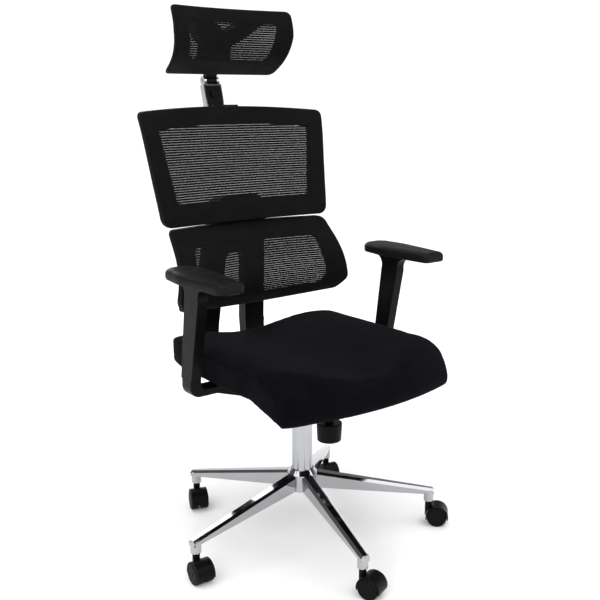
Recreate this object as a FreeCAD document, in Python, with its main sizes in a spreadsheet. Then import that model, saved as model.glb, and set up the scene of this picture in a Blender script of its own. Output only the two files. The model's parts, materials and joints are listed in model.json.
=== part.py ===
"""Swivel office chair with a mesh back in two panels, a mesh headrest and a chromed five-star base.

Millimetres. The origin is on the swivel axis at the floor, +Z is up and the sitter faces -Y,
so the sitter's right is -X.
"""
import FreeCAD, Part
import math
import os

import Sketcher
from FreeCAD import Placement, Rotation, Vector

os.makedirs("parts", exist_ok=True)
doc = FreeCAD.newDocument("OfficeChair")

SIZES = {
    # fits shared by every piece
    "running_gap": 0.05,
    "seat_gap": 0.3,
    "sweep_gap": 0.8,
    # five-star base
    "base_heading": 185.45,
    "pivot_circle": 320.5,
    "hub_radius": 36.0,
    "hub_low": 120.0,
    "hub_high": 161.0,
    "hub_top": 172.0,
    "hub_top_radius": 27.5,
    "arm_root_top": 163.0,
    "arm_root_width": 31.0,
    "arm_root_depth": 41.0,
    "arm_tip_width": 23.0,
    "arm_tip_depth": 15.0,
    "arm_bevel": 6.0,
    "tip_top": 95.8,
    "tip_low": 63.8,
    "tip_radius": 12.2,
    "socket_radius": 8.0,
    "socket_depth": 28.0,
    # castors
    "wheel_radius": 25.0,
    "wheel_width": 19.0,
    "wheel_spacing": 7.0,
    "wheel_edge": 2.5,
    "castor_trail": 22.0,
    "hood_wall": 2.6,
    "hood_width": 42.0,
    "hood_reach": 104.0,
    "neck_radius": 8.5,
    "stem_radius": 5.5,
    "stem_lift": 20.0,
    "axle_radius": 3.0,
    "castor_heading_a": 267.5,
    "castor_heading_b": 292.5,
    "castor_heading_c": 315.5,
    "castor_heading_d": 255.5,
    "castor_heading_e": 250.5,
    # gas lift
    "tube_radius": 25.0,
    "tube_wall": 1.5,
    "tube_low": 123.0,
    "tube_top": 328.0,
    "tube_floor": 4.0,
    "bush_length": 76.0,
    "cylinder_radius": 14.0,
    "cylinder_wall": 1.6,
    "cylinder_low": 142.0,
    "taper_length": 30.0,
    "taper_radius": 13.2,
    "rod_radius": 5.0,
    "piston_radius": 12.0,
    "piston_low": 262.0,
    "piston_height": 12.0,
    "valve_radius": 3.0,
    "valve_stand": 5.5,
    # mechanism under the seat
    "housing_half_width": 62.0,
    "housing_front": -142.0,
    "housing_rear": 82.0,
    "housing_low": 340.0,
    "housing_top": 394.0,
    "housing_wall": 3.0,
    "recline_y": 58.0,
    "recline_z": 368.0,
    "recline_shaft_radius": 7.0,
    "knob_y": -106.0,
    "knob_radius": 30.0,
    "knob_low": 276.0,
    "knob_height": 44.0,
    "screw_radius": 5.0,
    "spring_radius": 21.0,
    "spring_wire": 5.0,
    "lock_lever_y": -52.0,
    "lever_lift": 0.3,
    "lever_radius": 3.5,
    "lever_pivot_radius": 4.5,
    "lever_hole_radius": 6.2,
    "lever_reach": 215.0,
    "paddle_width": 32.0,
    "paddle_shift": -14.0,
    "paddle_length": 62.0,
    "paddle_thickness": 9.0,
    # seat
    "seat_half_width": 250.0,
    "seat_rear_half_width": 216.0,
    "seat_front": -300.0,
    "seat_bow_radius": 750.0,
    "seat_fall": 106.0,
    "seat_corner": 46.0,
    "seat_rear": 247.0,
    "seat_side_top": 501.0,
    "seat_middle_top": 470.0,
    "seat_lip_low": 397.0,
    "seat_side_low": 433.0,
    "pan_half_width": 222.0,
    "pan_flat_half_width": 138.0,
    "pan_rise": 30.0,
    "pan_thickness": 8.0,
    "pan_front": -212.0,
    "pan_rear": 214.0,
    "pan_corner": 40.0,
    "seat_bolt_radius": 4.0,
    # arms
    "arm_x": 283.5,
    "arm_thickness": 25.0,
    "arm_seam": 447.0,
    "arm_seam_y": 29.5,
    "arm_low_width": 45.0,
    "arm_high_width": 59.0,
    "arm_high": 655.0,
    "arm_lean": 9.8,
    "arm_head_length": 104.0,
    "arm_head_top": 671.0,
    "arm_head_thickness": 6.0,
    "arm_bracket_low": 407.0,
    "arm_bracket_thickness": 13.0,
    "arm_bracket_inner": 110.0,
    "arm_post_width": 30.0,
    "arm_post_thickness": 12.0,
    "arm_post_high": 610.0,
    "arm_button_width": 16.0,
    "arm_button_height": 14.0,
    "arm_button_depth": 7.0,
    "pad_top": 695.0,
    "pad_front": -153.0,
    "pad_rear": 82.0,
    "pad_front_in": 254.0,
    "pad_front_out": 318.0,
    "pad_rear_in": 240.0,
    "pad_rear_out": 327.0,
    # back: two-legged spine and its carrier
    "leg_depth": 32.0,
    "leg_low": 382.0,
    "leg_knee": 480.0,
    "leg_knee_y": 304.0,
    "leg_waist": 680.0,
    "leg_waist_y": 280.0,
    "spine_top": 812.0,
    "spine_top_y": 264.0,
    "spine_top_depth": 24.0,
    "leg_low_in": 47.0,
    "leg_low_out": 104.0,
    "leg_waist_in": 28.0,
    "leg_waist_out": 87.0,
    "crotch": 664.0,
    "head_half_width": 72.0,
    "head_top_half_width": 49.0,
    "tongue_depth": 12.0,
    "tongue_front": 9.0,
    "tongue_top": 500.0,
    "carrier_width": 30.0,
    "carrier_low": 356.0,
    "carrier_height": 25.0,
    "carrier_tie_y": 118.0,
    "carrier_tie_length": 36.0,
    "leg_bolt_radius": 5.0,
    "leg_bolt_z": 467.0,
    # upper back panel: the y_ sizes are the front surface at its side edges
    "upper_y_low": 201.0,
    "upper_y_mid": 230.5,
    "upper_mid": 890.0,
    "upper_y_high": 256.0,
    "upper_high": 996.0,
    "upper_y_top": 269.0,
    "upper_top": 1019.0,
    "upper_crown": 10.0,
    "upper_low": 754.0,
    "upper_half_top": 262.0,
    "upper_half_low": 237.0,
    "upper_corner_top": 14.0,
    "upper_corner_low": 24.0,
    "upper_band_top": 39.0,
    "upper_band_low": 51.0,
    "upper_band_side": 41.0,
    "upper_sag": 22.0,
    # lumbar panel
    "lumbar_y_low": 150.0,
    "lumbar_y_belly": 172.0,
    "lumbar_y_hip": 129.0,
    "lumbar_hip": 590.0,
    "lumbar_y_front": 124.0,
    "lumbar_front": 622.0,
    "lumbar_y_mid": 131.5,
    "lumbar_mid": 660.0,
    "lumbar_y_waist": 155.0,
    "lumbar_waist": 700.0,
    "lumbar_y_top": 198.0,
    "lumbar_top": 749.0,
    "lumbar_low": 562.0,
    "lumbar_belly": 17.0,
    "lumbar_half_top": 224.0,
    "lumbar_half_low": 248.0,
    "lumbar_half_base": 226.0,
    "lumbar_widest": 594.0,
    "lumbar_band_top": 40.0,
    "lumbar_band_low": 21.0,
    "lumbar_band_side": 41.0,
    "lumbar_sag": 44.0,
    "lumbar_arm_half_width": 58.0,
    # panels in general
    "cloth_thickness": 2.5,
    "frame_thickness": 17.0,
    # headrest
    "rest_y_low": 322.0,
    "rest_y_neck": 279.0,
    "rest_neck": 1140.0,
    "rest_y_mid": 258.5,
    "rest_mid": 1170.0,
    "rest_y_front": 252.0,
    "rest_front": 1200.0,
    "rest_y_crown": 256.0,
    "rest_crown": 1230.0,
    "rest_y_top": 269.0,
    "rest_top": 1260.0,
    "rest_low": 1106.0,
    "rest_half_top": 167.0,
    "rest_half_low": 154.0,
    "rest_corner": 13.0,
    "rest_band_top": 31.0,
    "rest_band_low": 33.0,
    "rest_band_side": 40.0,
    "rest_sag": 31.0,
    "rest_frame_thickness": 10.0,
    "post_y": 361.5,
    "post_z": 1030.0,
    "post_lean": 15.5,
    "post_width": 52.0,
    "post_depth": 17.0,
    "post_wall": 3.0,
    "post_below": 44.0,
    "post_above": 54.0,
    "tilt_above": 66.0,
    "tilt_pin_radius": 4.0,
    "tilt_knuckle_radius": 10.0,
    "tilt_knuckle_width": 30.0,
    "tilt_ear_width": 7.0,
    "post_cap_above": 30.0,
    "support_depth": 20.0,
    "support_fork": 84.0,
    "support_waist_half": 40.0,
    "support_tip_half": 104.0,
    "post_cap_radius": 10.0,
    "post_cap_stand": 3.0,
    "socket_wall": 9.0,
    "socket_height": 34.0,
}

sheet = doc.addObject("Spreadsheet::Sheet", "sizes")
for row, (alias, number) in enumerate(SIZES.items(), start=1):
    sheet.set(f"A{row}", alias)
    sheet.set(f"B{row}", str(number))
    sheet.setAlias(f"B{row}", alias)
doc.recompute()


class Size:
    """A number and the sheet formula that gives it, so that arithmetic on sizes stays parametric."""

    def __init__(self, number, formula):
        self.number = number
        self.formula = formula

    def __float__(self):
        return float(self.number)

    def __neg__(self):
        return Size(-self.number, f"(-{self.formula})")

    def __add__(self, other):
        other = as_size(other)
        return Size(self.number + other.number, f"({self.formula} + {other.formula})")

    def __sub__(self, other):
        other = as_size(other)
        return Size(self.number - other.number, f"({self.formula} - {other.formula})")

    def __mul__(self, other):
        other = as_size(other)
        return Size(self.number * other.number, f"({self.formula} * {other.formula})")

    def __truediv__(self, other):
        other = as_size(other)
        return Size(self.number / other.number, f"({self.formula} / {other.formula})")

    def __radd__(self, other):
        return as_size(other) + self

    def __rsub__(self, other):
        return as_size(other) - self

    def __rmul__(self, other):
        return as_size(other) * self


def as_size(value):
    if isinstance(value, Size):
        return value
    return Size(value, f"({value})")


def size(alias):
    """The sheet's size of that name, for use in a bound expression."""
    return Size(float(sheet.get(alias)), f"sizes.{alias}")


def mm(alias):
    """The sheet's size of that name as a plain number, for shapes made in code."""
    return float(sheet.get(alias))


def bind(thing, path, value):
    if isinstance(value, Size):
        thing.setExpression(path, value.formula)
    else:
        setattr(thing, path, value)


# ---------------------------------------------------------------- building blocks

def new_body(label):
    body = doc.addObject("PartDesign::Body", label)
    body.Label = label
    return body


def new_sketch(body, role, name, lift=0):
    """A sketch on one of the body's origin planes, moved along the plane's normal by lift."""
    sketch = body.newObject("Sketcher::SketchObject", name)
    plane = next(f for f in body.Origin.OriginFeatures if f.Role == role)
    sketch.AttachmentSupport = (plane, [""])
    sketch.MapMode = "FlatFace"
    if isinstance(lift, Size):
        sketch.setExpression("AttachmentOffset.Base.z", lift.formula)
    return sketch


def pin_point(sketch, geometry, which, x, y):
    """Fix a point of the sketch at (x, y) from its origin, bound to the sheet."""
    for kind, value in (("DistanceX", x), ("DistanceY", y)):
        value = as_size(value)
        index = sketch.addConstraint(
            Sketcher.Constraint(kind, -1, 1, geometry, which, value.number))
        sketch.setExpression(f"Constraints[{index}]", value.formula)


def draw_polygon(sketch, points):
    """A closed polygon whose corners are fixed by sheet formulas."""
    places = [Vector(float(x), float(y), 0) for x, y in points]
    first = sketch.GeometryCount
    count = len(points)
    for i, place in enumerate(places):
        sketch.addGeometry(Part.LineSegment(place, places[(i + 1) % count]))
    for i in range(count):
        following = first + (i + 1) % count
        sketch.addConstraint(Sketcher.Constraint("Coincident", first + i, 2, following, 1))
    for i, (x, y) in enumerate(points):
        pin_point(sketch, first + i, 1, x, y)


def draw_circle(sketch, radius, x=0.0, y=0.0):
    centre = Vector(float(x), float(y), 0)
    index = sketch.addGeometry(Part.Circle(centre, Vector(0, 0, 1), float(radius)))
    limit = sketch.addConstraint(Sketcher.Constraint("Radius", index, float(radius)))
    sketch.setExpression(f"Constraints[{limit}]", as_size(radius).formula)
    pin_point(sketch, index, 3, x, y)


def pad(body, sketch, name, length, both_ways=False, reversed_way=False):
    feature = body.newObject("PartDesign::Pad", name)
    feature.Profile = sketch
    feature.Type = "Length"
    bind(feature, "Length", length)
    feature.SideType = "Symmetric" if both_ways else "One side"
    feature.Reversed = reversed_way
    return feature


def cut_through(body, sketch, name, length, both_ways=False, reversed_way=False):
    feature = body.newObject("PartDesign::Pocket", name)
    feature.Profile = sketch
    feature.Type = "Length"
    bind(feature, "Length", length)
    feature.SideType = "Symmetric" if both_ways else "One side"
    feature.Reversed = reversed_way
    return feature


def revolve(body, sketch, name):
    """Turn a sketch drawn in the XZ plane about the vertical axis."""
    feature = body.newObject("PartDesign::Revolution", name)
    feature.Profile = sketch
    feature.ReferenceAxis = (sketch, ["V_Axis"])
    feature.Angle = 360.0
    return feature


def turned(label, profile):
    """A body turned about the Z axis from a closed (radius, height) profile."""
    body = new_body(label)
    sketch = new_sketch(body, "XZ_Plane", label + "_profile")
    draw_polygon(sketch, profile)
    revolve(body, sketch, label + "_turned")
    return body


def tube_profile(inner, outer, low, high):
    return [(inner, low), (outer, low), (outer, high), (inner, high)]


def feature_of(label, shape, placement=None):
    feature = doc.addObject("Part::Feature", label)
    feature.Label = label
    feature.Shape = shape
    if placement is not None:
        feature.Placement = placement
    return feature


def cylinder(radius, start, end):
    axis = end.sub(start)
    return Part.makeCylinder(radius, axis.Length, start, axis)


def block(x0, x1, y0, y1, z0, z1):
    return Part.makeBox(x1 - x0, y1 - y0, z1 - z0, Vector(x0, y0, z0))


def prism(points, sweep):
    """A closed polygon of vectors pushed along a vector."""
    return Part.Face(Part.makePolygon(points + [points[0]])).extrude(sweep)


def mirrored(shape):
    return shape.mirror(Vector(0, 0, 0), Vector(1, 0, 0))


def rounded_outline(corners, upright=True):
    """A wire through (x, z, radius) corners rounded by arcs, in the XZ plane, or (x, y, radius) in XY."""
    points = [Vector(x, 0, v) if upright else Vector(x, v, 0) for x, v, _ in corners]
    count = len(corners)
    rounded = []
    for i, here in enumerate(points):
        before = points[i - 1].sub(here)
        after = points[(i + 1) % count].sub(here)
        before.normalize()
        after.normalize()
        half = before.getAngle(after) / 2
        radius = corners[i][2]
        reach = radius / math.tan(half)
        middle = Vector(before.add(after))
        middle.normalize()
        centre = here.add(middle * (radius / math.sin(half)))
        rounded.append((here.add(before * reach), centre.sub(middle * radius),
                        here.add(after * reach)))
    edges = []
    for i, (start, mid, end) in enumerate(rounded):
        edges.append(Part.Arc(start, mid, end).toShape())
        following = rounded[(i + 1) % count][0]
        if end.sub(following).Length > 1e-6:
            edges.append(Part.makeLine(end, following))
    return Part.Wire(edges)


def plan_prism(corners, low, high):
    """A rounded outline in plan, pushed up from z = low to z = high."""
    wire = rounded_outline(corners, upright=False)
    wire.translate(Vector(0, 0, low))
    return Part.Face(wire).extrude(Vector(0, 0, high - low))


def outline_prism(wire, near, far):
    """A wire of the XZ plane pushed from y = near to y = far."""
    placed = wire.copy()
    placed.translate(Vector(0, near, 0))
    return Part.Face(placed).extrude(Vector(0, far - near, 0))


# ---------------------------------------------------------------- curved panels of the back

def curved_slab(profile, half_width, sag, near, far):
    """A slab from near to far behind the panel's front surface, hollow towards the sitter by sag.

    The (z, y) profile is the front surface at x = half_width; the slab runs a little past it.
    """
    overrun = 1.05
    reach = half_width * overrun
    base_z, base_y = profile[0]
    edge_y = base_y - sag * (overrun ** 2 - 1)
    hollow = Vector(0, base_y + sag, base_z)
    left = Vector(-reach, edge_y, base_z)
    right = Vector(reach, edge_y, base_z)
    front = Vector(0, near, 0)
    rear = Vector(0, far, 0)
    section = Part.Wire([
        Part.Arc(left.add(front), hollow.add(front), right.add(front)).toShape(),
        Part.makeLine(right.add(front), right.add(rear)),
        Part.Arc(right.add(rear), hollow.add(rear), left.add(rear)).toShape(),
        Part.makeLine(left.add(rear), left.add(front)),
    ])
    sections = []
    for z, y in profile:
        copy = section.copy()
        copy.translate(Vector(0, y - base_y, z - base_z))
        sections.append(copy)
    return Part.makeLoft(sections, True, False)


def panel(slab, outline, window=None):
    """The part of a curved slab inside an outline, less its window."""
    box = slab.BoundBox
    shape = slab.common(outline_prism(outline, box.YMin - 1, box.YMax + 1))
    if window is not None:
        shape = shape.cut(outline_prism(window, box.YMin - 1, box.YMax + 1))
    return shape


# ---------------------------------------------------------------- base and castors

def star_base():
    """Hub, five tapering arms with a flat top between bevels, and a round castor sleeve on each tip."""
    body = new_body("star_base")
    hub = new_sketch(body, "XZ_Plane", "hub_profile")
    draw_polygon(hub, [
        (0, size("hub_low")), (size("hub_radius"), size("hub_low")),
        (size("hub_radius"), size("hub_high")), (size("hub_top_radius"), size("hub_top")),
        (0, size("hub_top"))])
    revolve(body, hub, "hub")

    def section(name, radius, width, depth, top):
        half = size(width) / 2
        bevel = size("arm_bevel")
        sketch = new_sketch(body, "YZ_Plane", name, radius)
        draw_polygon(sketch, [
            (bevel - half, top), (half - bevel, top), (half, top - bevel),
            (half - bevel / 3, top - size(depth)), (bevel / 3 - half, top - size(depth)),
            (-half, top - bevel)])
        return sketch

    root = section("arm_root", size("hub_top_radius"), "arm_root_width", "arm_root_depth",
                   size("arm_root_top"))
    tip = section("arm_tip", size("pivot_circle") + size("tip_radius") - 1, "arm_tip_width",
                  "arm_tip_depth", size("tip_top"))
    arm = body.newObject("PartDesign::AdditiveLoft", "arm")
    arm.Profile = root
    arm.Sections = [tip]
    arm.Ruled = True
    sleeve_sketch = new_sketch(body, "XY_Plane", "sleeve_circle", size("tip_low"))
    draw_circle(sleeve_sketch, size("tip_radius"), size("pivot_circle"), 0)
    sleeve = pad(body, sleeve_sketch, "sleeve", size("tip_top") - size("tip_low") - 3)
    doc.recompute()
    arms = body.newObject("PartDesign::PolarPattern", "arms")
    arms.Originals = [arm, sleeve]
    axis = next(f for f in body.Origin.OriginFeatures if f.Role == "Z_Axis")
    arms.Axis = (axis, [""])
    arms.Angle = 360.0
    arms.Occurrences = 5
    body.Tip = arms
    doc.recompute()
    bore = new_sketch(body, "XY_Plane", "bore_circle", size("tube_low") - 5)
    draw_circle(bore, size("tube_radius") + size("running_gap"))
    cut_through(body, bore, "column_bore", size("hub_top"), reversed_way=True)
    sockets = new_sketch(body, "XY_Plane", "socket_circles", size("tip_low"))
    for i in range(5):
        turn = math.radians(72 * i)
        draw_circle(sockets, size("socket_radius") + size("running_gap"),
                    size("pivot_circle") * math.cos(turn), size("pivot_circle") * math.sin(turn))
    cut_through(body, sockets, "castor_sockets_bore", size("socket_depth"), reversed_way=True)
    body.Placement = Placement(Vector(), Rotation(Vector(0, 0, 1), mm("base_heading")))
    return body


def castor_places():
    """(letter, x, y, heading) of each castor's stem."""
    places = []
    for i, letter in enumerate("abcde"):
        angle = math.radians(mm("base_heading") + 72 * i)
        x = mm("pivot_circle") * math.cos(angle)
        y = mm("pivot_circle") * math.sin(angle)
        places.append((letter, x, y, mm("castor_heading_" + letter)))
    return places


def castor_sockets():
    """Bushes pressed into the arm tips, in which the castor stems turn."""
    inner = mm("stem_radius") + mm("running_gap")
    bushes = []
    for _, x, y, _ in castor_places():
        low = Vector(x, y, mm("tip_low"))
        high = low.add(Vector(0, 0, mm("socket_depth")))
        bushes.append(cylinder(mm("socket_radius"), low, high).cut(cylinder(inner, low, high)))
    return feature_of("castor_sockets", Part.makeCompound(bushes))


def castor(letter, x, y, heading):
    """Twin-wheel castor: hood, stem and axle, and two wheels; it trails along its heading."""
    place = Placement(Vector(x, y, 0), Rotation(Vector(0, 0, 1), heading))
    radius = mm("wheel_radius")
    trail = mm("castor_trail")
    inside = radius + mm("sweep_gap")
    outside = inside + mm("hood_wall")
    half_hood = mm("hood_width") / 2
    half_web = mm("wheel_spacing") / 2 - mm("sweep_gap")
    hub = Vector(trail, 0, radius)

    def across(r, low, high):
        return cylinder(r, hub.add(Vector(0, low, 0)), hub.add(Vector(0, high, 0)))

    far = 2 * outside
    reach = mm("hood_reach")
    fan = [Vector(trail, -half_hood, radius)]
    for turn in (-reach, -reach / 2, 0, reach / 2, reach):
        bearing = math.radians(turn)
        fan.append(Vector(trail + far * math.sin(bearing), -half_hood,
                          radius + far * math.cos(bearing)))
    fan = prism(fan, Vector(0, 2 * half_hood, 0))
    shell = across(outside, -half_hood, half_hood).cut(across(inside, -half_hood, half_hood))
    neck_top = mm("tip_low") - 1.5
    neck = cylinder(mm("neck_radius"), Vector(0, 0, radius), Vector(0, 0, neck_top))
    neck = neck.cut(across(inside, -half_hood, half_hood))
    web = across(outside - 1, -half_web, half_web).common(fan)
    boss = across(3 * mm("axle_radius"), -half_web, half_web)
    hood = shell.common(fan).fuse([neck, web, boss])
    stem_low = Vector(0, 0, radius + mm("stem_lift"))
    stem_high = Vector(0, 0, mm("tip_low") + mm("socket_depth") - 1)
    hood = hood.cut(cylinder(mm("stem_radius") + mm("running_gap"), stem_low, stem_high))
    hood = hood.cut(across(mm("axle_radius") + mm("running_gap"), -half_web, half_web))
    feature_of(f"castor_{letter}_hood", hood.removeSplitter(), place)

    half_axle = mm("wheel_spacing") / 2 + mm("wheel_width") * 0.7
    pins = [cylinder(mm("stem_radius"), stem_low, stem_high),
            across(mm("axle_radius"), -half_axle, half_axle)]
    feature_of(f"castor_{letter}_pins", Part.makeCompound(pins), place)

    for side, sign in (("left", 1), ("right", -1)):
        near = sign * mm("wheel_spacing") / 2
        end = near + sign * mm("wheel_width")
        wheel = across(radius, near, end)
        rims = [e for e in wheel.Edges if e.Closed]
        wheel = wheel.makeFillet(mm("wheel_edge"), rims)
        bore_end = sign * (half_axle + 1)
        wheel = wheel.cut(across(mm("axle_radius") + mm("running_gap"), 0, bore_end))
        feature_of(f"castor_{letter}_wheel_{side}", wheel, place)


# ---------------------------------------------------------------- gas lift

def gas_lift():
    """Outer tube and guide bush in the hub, rod and piston, and the sliding cylinder with its valve."""
    gap = size("running_gap")
    tube_inner = size("tube_radius") - size("tube_wall")
    floor_top = size("tube_low") + size("tube_floor")
    rod = size("rod_radius")
    turned("gas_column_tube", [
        (rod + gap, size("tube_low")), (size("tube_radius"), size("tube_low")),
        (size("tube_radius"), size("tube_top")), (tube_inner, size("tube_top")),
        (tube_inner, floor_top), (rod + gap, floor_top)])
    turned("column_guide_bush", tube_profile(
        size("cylinder_radius") + gap, tube_inner - gap,
        size("tube_top") - size("bush_length"), size("tube_top")))
    bearing_top = floor_top + 7
    turned("thrust_bearing", tube_profile(rod + gap, rod * 2.4, floor_top, bearing_top))

    flange_top = bearing_top + 2.5
    piston_low = size("piston_low")
    piston_top = piston_low + size("piston_height")
    turned("piston_rod", [
        (0, size("tube_low") - 4), (rod + 4, size("tube_low") - 4),
        (rod + 4, size("tube_low") - 0.3), (rod, size("tube_low") - 0.3),
        (rod, bearing_top), (rod + 4, bearing_top), (rod + 4, flange_top), (rod, flange_top),
        (rod, piston_low), (size("piston_radius"), piston_low),
        (size("piston_radius"), piston_top), (0, piston_top)])

    radius = size("cylinder_radius")
    inner = radius - size("cylinder_wall")
    low = size("cylinder_low")
    taper_low = size("housing_low") - 4
    top = taper_low + size("taper_length")
    pin = size("valve_radius")
    turned("gas_cylinder", [
        (rod + gap, low), (radius, low), (radius, taper_low), (size("taper_radius"), top),
        (pin + gap, top), (pin + gap, top - 6), (inner - 2, top - 6), (inner, taper_low - 10),
        (inner, low + 14), (rod + gap, low + 14)])
    turned("valve_pin", [
        (0, top - 9), (pin, top - 9), (pin, top + size("valve_stand")),
        (0, top + size("valve_stand"))])


# ---------------------------------------------------------------- mechanism

def mechanism_housing():
    """Pressed tray with a flange to the seat, a conical cup for the gas cylinder and cross bores."""
    body = new_body("mechanism_housing")
    half = size("housing_half_width")
    front, rear = size("housing_front"), size("housing_rear")
    low, top, wall = size("housing_low"), size("housing_top"), size("housing_wall")
    flange = 22.0

    def plan(name, lift, grow):
        sketch = new_sketch(body, "XY_Plane", name, lift)
        draw_polygon(sketch, [(-half - grow, front - grow / 4), (half + grow, front - grow / 4),
                              (half + grow, rear + grow / 4), (-half - grow, rear + grow / 4)])
        return sketch

    pad(body, plan("tray_outline", low, 0), "tray", top - low)
    pad(body, plan("flange_outline", top - wall, as_size(flange)), "flange", wall)
    doc.recompute()
    cut_through(body, plan("tray_inside", low + wall, -wall), "hollow", top - low,
                reversed_way=True)
    cup = new_sketch(body, "XY_Plane", "cup_circle", low)
    draw_circle(cup, size("cylinder_radius") + 9)
    pad(body, cup, "cup", size("taper_length") - 7)
    doc.recompute()
    shape_bores = new_sketch(body, "XZ_Plane", "cup_cone")
    gap = size("running_gap")
    taper_low = low - 4
    taper_top = taper_low + size("taper_length")
    draw_polygon(shape_bores, [
        (0, taper_low), (size("cylinder_radius") + gap, taper_low),
        (size("taper_radius") + gap, taper_top), (0, taper_top)])
    groove = body.newObject("PartDesign::Groove", "cup_bore")
    groove.Profile = shape_bores
    groove.ReferenceAxis = (shape_bores, ["V_Axis"])
    groove.Angle = 360.0
    screw = new_sketch(body, "XY_Plane", "screw_circle", low)
    draw_circle(screw, size("screw_radius") + gap, 0, size("knob_y"))
    cut_through(body, screw, "screw_hole", wall, reversed_way=True)
    cross = new_sketch(body, "YZ_Plane", "cross_bores")
    draw_circle(cross, size("recline_shaft_radius") + gap, size("recline_y"), size("recline_z"))
    cut_through(body, cross, "shaft_bores", half * 3, both_ways=True)
    levers = new_sketch(body, "YZ_Plane", "lever_bores")
    for y in (0, size("lock_lever_y")):
        draw_circle(levers, size("lever_hole_radius"), y, lever_height())
    cut_through(body, levers, "lever_holes", half * 1.5, reversed_way=True)
    bolts = new_sketch(body, "XY_Plane", "bolt_circles", top - wall)
    for x, y in seat_bolt_places():
        draw_circle(bolts, size("seat_bolt_radius") + gap, x, y)
    cut_through(body, bolts, "bolt_holes", wall, reversed_way=True)
    return body


def lever_height():
    """Height of both lever rods, resting on the valve pin's top."""
    cylinder_top = size("housing_low") - 4 + size("taper_length")
    return cylinder_top + size("valve_stand") + size("lever_lift") + size("lever_radius")


def seat_bolt_places():
    x = size("housing_half_width") + 12
    return [(x * sign, y) for sign in (-1, 1)
            for y in (size("housing_front") + 20, size("housing_rear") - 20)]


def arm_bolt_places():
    x = size("arm_bracket_inner") + 13
    return [(x * sign, size("arm_seam_y") + step) for sign in (-1, 1) for step in (-13, 13)]


def tension_spring():
    """Coil spring round the tension screw, swept from straight runs."""
    wire = mm("spring_wire") / 2
    radius = mm("spring_radius") - wire
    low = mm("housing_low") + mm("housing_wall") + wire
    height = mm("housing_top") - low - wire - 2
    turns = 4
    steps = 14 * turns
    sections = []
    for i in range(steps + 1):
        turn = 2 * math.pi * turns * i / steps
        centre = Vector(radius * math.cos(turn), mm("knob_y") + radius * math.sin(turn),
                        low + height * i / steps)
        along = Vector(-math.sin(turn), math.cos(turn), height / turns / (2 * math.pi * radius))
        sections.append(Part.Wire(Part.makeCircle(wire, centre, along)))
    return feature_of("tension_spring", Part.makeLoft(sections, True, True))


def mechanism_pieces():
    """Recline shaft, tension spring, tension knob with its screw, and the two levers."""
    end = mm("housing_half_width") + mm("carrier_width") + mm("seat_gap")
    shaft = cylinder(mm("recline_shaft_radius"), Vector(-end, mm("recline_y"), mm("recline_z")),
                     Vector(end, mm("recline_y"), mm("recline_z")))
    feature_of("recline_shaft", shaft)

    tension_spring()
    radius = mm("knob_radius")
    knob_low = mm("knob_low")
    knob_top = knob_low + mm("knob_height")
    centre = Vector(0, mm("knob_y"), 0)

    def at(z):
        return centre.add(Vector(0, 0, z))

    knob = Part.makeCone(radius - 2, radius, mm("knob_height"), at(knob_low))
    knob = knob.makeFillet(3, [e for e in knob.Edges if e.Closed])
    flute = radius / 12
    flutes = []
    for i in range(16):
        turn = 2 * math.pi * i / 16
        foot = Vector((radius + flute / 3) * math.cos(turn), (radius + flute / 3) * math.sin(turn), 0)
        flutes.append(cylinder(flute, at(knob_low - 1).add(foot), at(knob_top + 1).add(foot)))
    knob = knob.cut(Part.makeCompound(flutes))
    screw_top = mm("housing_top") - 4
    screw = cylinder(mm("screw_radius"), at(knob_low + 12), at(screw_top))
    neck = cylinder(2 * mm("screw_radius"), at(knob_top - 2), at(mm("housing_low") - mm("seat_gap")))
    feature_of("tension_knob", knob.fuse([screw, neck]).removeSplitter())

    z = float(lever_height())
    wall = mm("housing_half_width")
    for label, y, inner in (("gas_lever", 0.0, -8.0), ("tilt_lock_lever", mm("lock_lever_y"), 34.0)):
        rod_end = mm("lever_reach") - mm("paddle_length") / 2
        rod = cylinder(mm("lever_radius"), Vector(inner, y, z), Vector(rod_end, y, z))
        half = mm("paddle_width") / 2
        thick = mm("paddle_thickness") / 2
        middle = y + mm("paddle_shift")
        paddle = block(mm("lever_reach") - mm("paddle_length"), mm("lever_reach"),
                       middle - half, middle + half, z - thick, z + thick)
        upright = [e for e in paddle.Edges if abs(e.Vertexes[0].Z - e.Vertexes[1].Z) > 1]
        paddle = paddle.makeFillet(half * 0.6, upright)
        pivot_x = wall - mm("housing_wall") / 2
        pivot = cylinder(mm("lever_pivot_radius"), Vector(pivot_x, y - mm("lever_radius"), z),
                         Vector(pivot_x, y + mm("lever_radius"), z))
        feature_of(label, rod.fuse([paddle, pivot]).removeSplitter())


# ---------------------------------------------------------------- seat

def seat_outline():
    """Plan of the cushion, as a wire at z = 0, with rounded corners."""
    front, rear = mm("seat_front"), mm("seat_rear")
    wide, back = mm("seat_half_width"), mm("seat_rear_half_width")
    corner = mm("seat_corner")
    right = [Vector(wide - corner - 8, front - 4, 0), Vector(wide - corner / 2, front + 18, 0),
             Vector(wide - 7, front + corner + 12, 0), Vector(wide - 1, front + 110, 0),
             Vector(wide, front + 170, 0), Vector(wide, 0, 0), Vector(wide - 6, rear - 120, 0),
             Vector(back + 18, rear - corner, 0), Vector(back, rear - 14, 0),
             Vector(back - corner, rear, 0)]
    left = [Vector(-p.x, p.y, 0) for p in reversed(right)]
    side = Part.BSplineCurve()
    side.interpolate(right)
    other = Part.BSplineCurve()
    other.interpolate(left)
    return Part.Wire([side.toShape(), Part.makeLine(right[-1], left[0]), other.toShape(),
                      Part.makeLine(left[-1], right[0])])


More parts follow.
